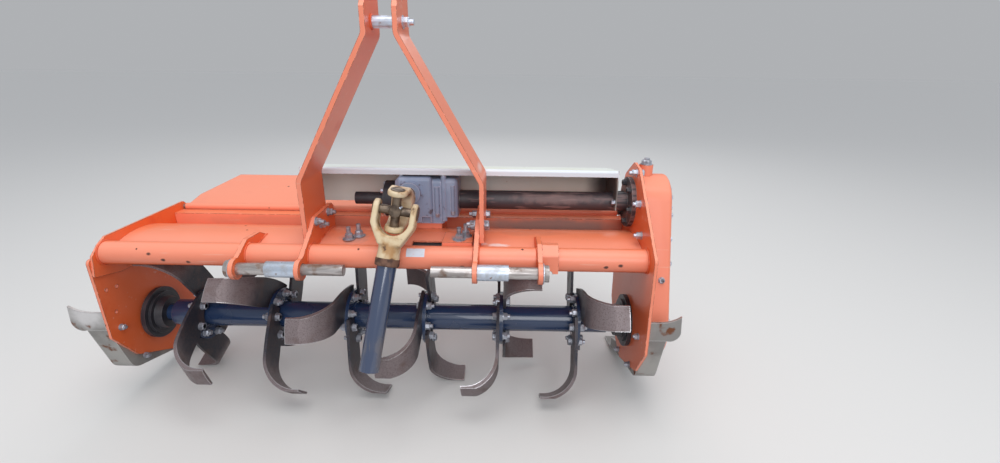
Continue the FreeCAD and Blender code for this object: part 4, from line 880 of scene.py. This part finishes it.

# %% [markdown]
# Two small sheets are left: a dark sheet under the slot in the hood, bent like the hood, which is painted shade that
# stands for the dark seen through the slot, and a blank label that follows the front tube. Both are grids of points
# on a circle round the X axis, and a wall thickness closes them.

# %% Curved sheets


def curved_sheet(name, y, z, rows, left, right, thickness, finish, columns=12):
    """A sheet whose rows are (radius, angle) round a line along X, made a closed wall."""
    shape = bmesh.new()
    grid = []
    for radius, angle in rows:
        turn = math.radians(angle)
        grid.append([shape.verts.new(at(left + (right - left) * number / columns, y + radius * math.cos(turn),
                                        z + radius * math.sin(turn))) for number in range(columns + 1)])
    for low, high in zip(grid, grid[1:]):
        for number in range(columns):
            shape.faces.new((low[number], low[number + 1], high[number + 1], high[number]))
    bmesh.ops.recalc_face_normals(shape, faces=shape.faces)
    bmesh.ops.solidify(shape, geom=shape.faces[:] + shape.edges[:] + shape.verts[:], thickness=thickness * MM)
    bmesh.ops.recalc_face_normals(shape, faces=shape.faces)
    mesh = bpy.data.meshes.new(name)
    shape.to_mesh(mesh)
    shape.free()
    mesh.materials.append(finish)
    piece = bpy.data.objects.new(name, mesh)
    scene_pieces.objects.link(piece)
    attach(piece, "root")
    print(name, len(mesh.polygons), "faces")


# Painted shade: the dark sheet under the hood's slot stands for the shade seen through it.
shade_sheet_rows = [(259.5, 109.4), (251, 109.0), (247.5, 108.2)]
shade_sheet_rows += [(246.5, 107.6 - step * 0.8) for step in range(9)]
shade_sheet_rows += [(247.5, 100.6), (251, 99.8), (259.5, 99.4)]
curved_sheet("slot_shade_sheet", 0, 0, shade_sheet_rows, 34, 124, 2, drive_black)
label_rows = [(30.3, 111 + step * 3.75) for step in range(13)]
curved_sheet("blank_label", TUBE_Y, TUBE_Z, label_rows, 39, 85, 0.3, label_white)

# %% [markdown]
# The camera stands where the photographer stood: a little right of the middle, at chest height, close, with the
# wide lens of a telephone. The floor and the backdrop are plain and pale, and soft lamps light the machine.

# %% Camera, floor and light
scene = bpy.context.scene
FOCAL_PIXELS = 470.8
FRAME_PIXELS = 1000
SENSOR = 36.0
LOOK_LEFT, LOOK_DOWN, ROLL = (math.radians(angle) for angle in (0.74, 19.64, 0.66))
camera_data = bpy.data.cameras.new("camera")
camera_data.sensor_width = SENSOR
camera_data.lens = FOCAL_PIXELS / FRAME_PIXELS * SENSOR
camera_data.clip_start = 0.05
camera = bpy.data.objects.new("camera", camera_data)
scene.collection.objects.link(camera)
forward = Vector((-math.sin(LOOK_LEFT) * math.cos(LOOK_DOWN), math.cos(LOOK_LEFT) * math.cos(LOOK_DOWN),
                  -math.sin(LOOK_DOWN)))
level = Vector((math.cos(LOOK_LEFT), math.sin(LOOK_LEFT), 0))
right = level * math.cos(ROLL) + level.cross(forward) * math.sin(ROLL)
above = right.cross(forward)
camera.matrix_world = Matrix.Translation(at(287.4, -1229.4, 709.5)) @ Matrix(
    (right, above, -forward)).transposed().to_4x4()
scene.camera = camera
scene.view_settings.view_transform = "Standard"


def seen_ray(build):
    """White for what the camera sees, straight or in a reflection."""
    rays = build.add("ShaderNodeLightPath").outputs
    return build.math("MAXIMUM", rays["Is Camera Ray"], rays["Is Glossy Ray"])


def stage_material(name, seen_colour, lit_colour):
    """The even skin of the floor: pale to look at, and plain earth for the light that it throws back."""
    material = bpy.data.materials.new(name)
    material.use_nodes = True
    build = Tree(material.node_tree)
    shader = material.node_tree.nodes["Principled BSDF"]
    build.feed(shader.inputs["Base Color"], mix_colour(build, seen_ray(build), lit_colour, seen_colour))
    shader.inputs["Roughness"].default_value = 0.9
    return material


ROOM = 40.0
floor_mesh = bpy.data.meshes.new("floor")
floor_mesh.from_pydata([(-ROOM, -ROOM, 0), (ROOM, -ROOM, 0), (ROOM, ROOM, 0), (-ROOM, ROOM, 0)], [],
                       [(0, 1, 2, 3)])
floor_mesh.materials.append(stage_material("floor_pale", (0.66, 0.65, 0.635), (0.38, 0.37, 0.36)))
floor = bpy.data.objects.new("floor", floor_mesh)
scene.collection.objects.link(floor)

world = bpy.data.worlds.new("world")
scene.world = world
world.use_nodes = True
sky = Tree(world.node_tree)
background = world.node_tree.nodes["Background"]
background.inputs["Color"].default_value = (0.90, 0.94, 1.0, 1)
background.inputs["Strength"].default_value = 0.72
backdrop = sky.add("ShaderNodeBackground", Color=(0.430, 0.441, 0.458, 1), Strength=1.0)
chosen_light = sky.add("ShaderNodeMixShader", _0=seen_ray(sky), _1=background.outputs[0], _2=backdrop)
world.node_tree.links.new(chosen_light.outputs[0], world.node_tree.nodes["World Output"].inputs["Surface"])


def lamp(name, place, target, size, power, colour=(1, 1, 1)):
    """A soft square lamp that looks at a place."""
    data = bpy.data.lights.new(name, "AREA")
    data.size = size
    data.energy = power
    data.color = colour
    item = bpy.data.objects.new(name, data)
    scene.collection.objects.link(item)
    item.location = place
    item.rotation_euler = (Vector(target) - Vector(place)).to_track_quat("-Z", "Y").to_euler()


middle = (0, 0, 0.45)
lamp("top", (0.3, -0.9, 3.8), middle, 2.8, 66, (1.0, 0.99, 0.97))
lamp("front", (1.0, -4.6, 2.6), middle, 2.6, 92, (0.97, 0.98, 1.0))
lamp("back", (0.2, 3.6, 3.0), middle, 2.8, 30)
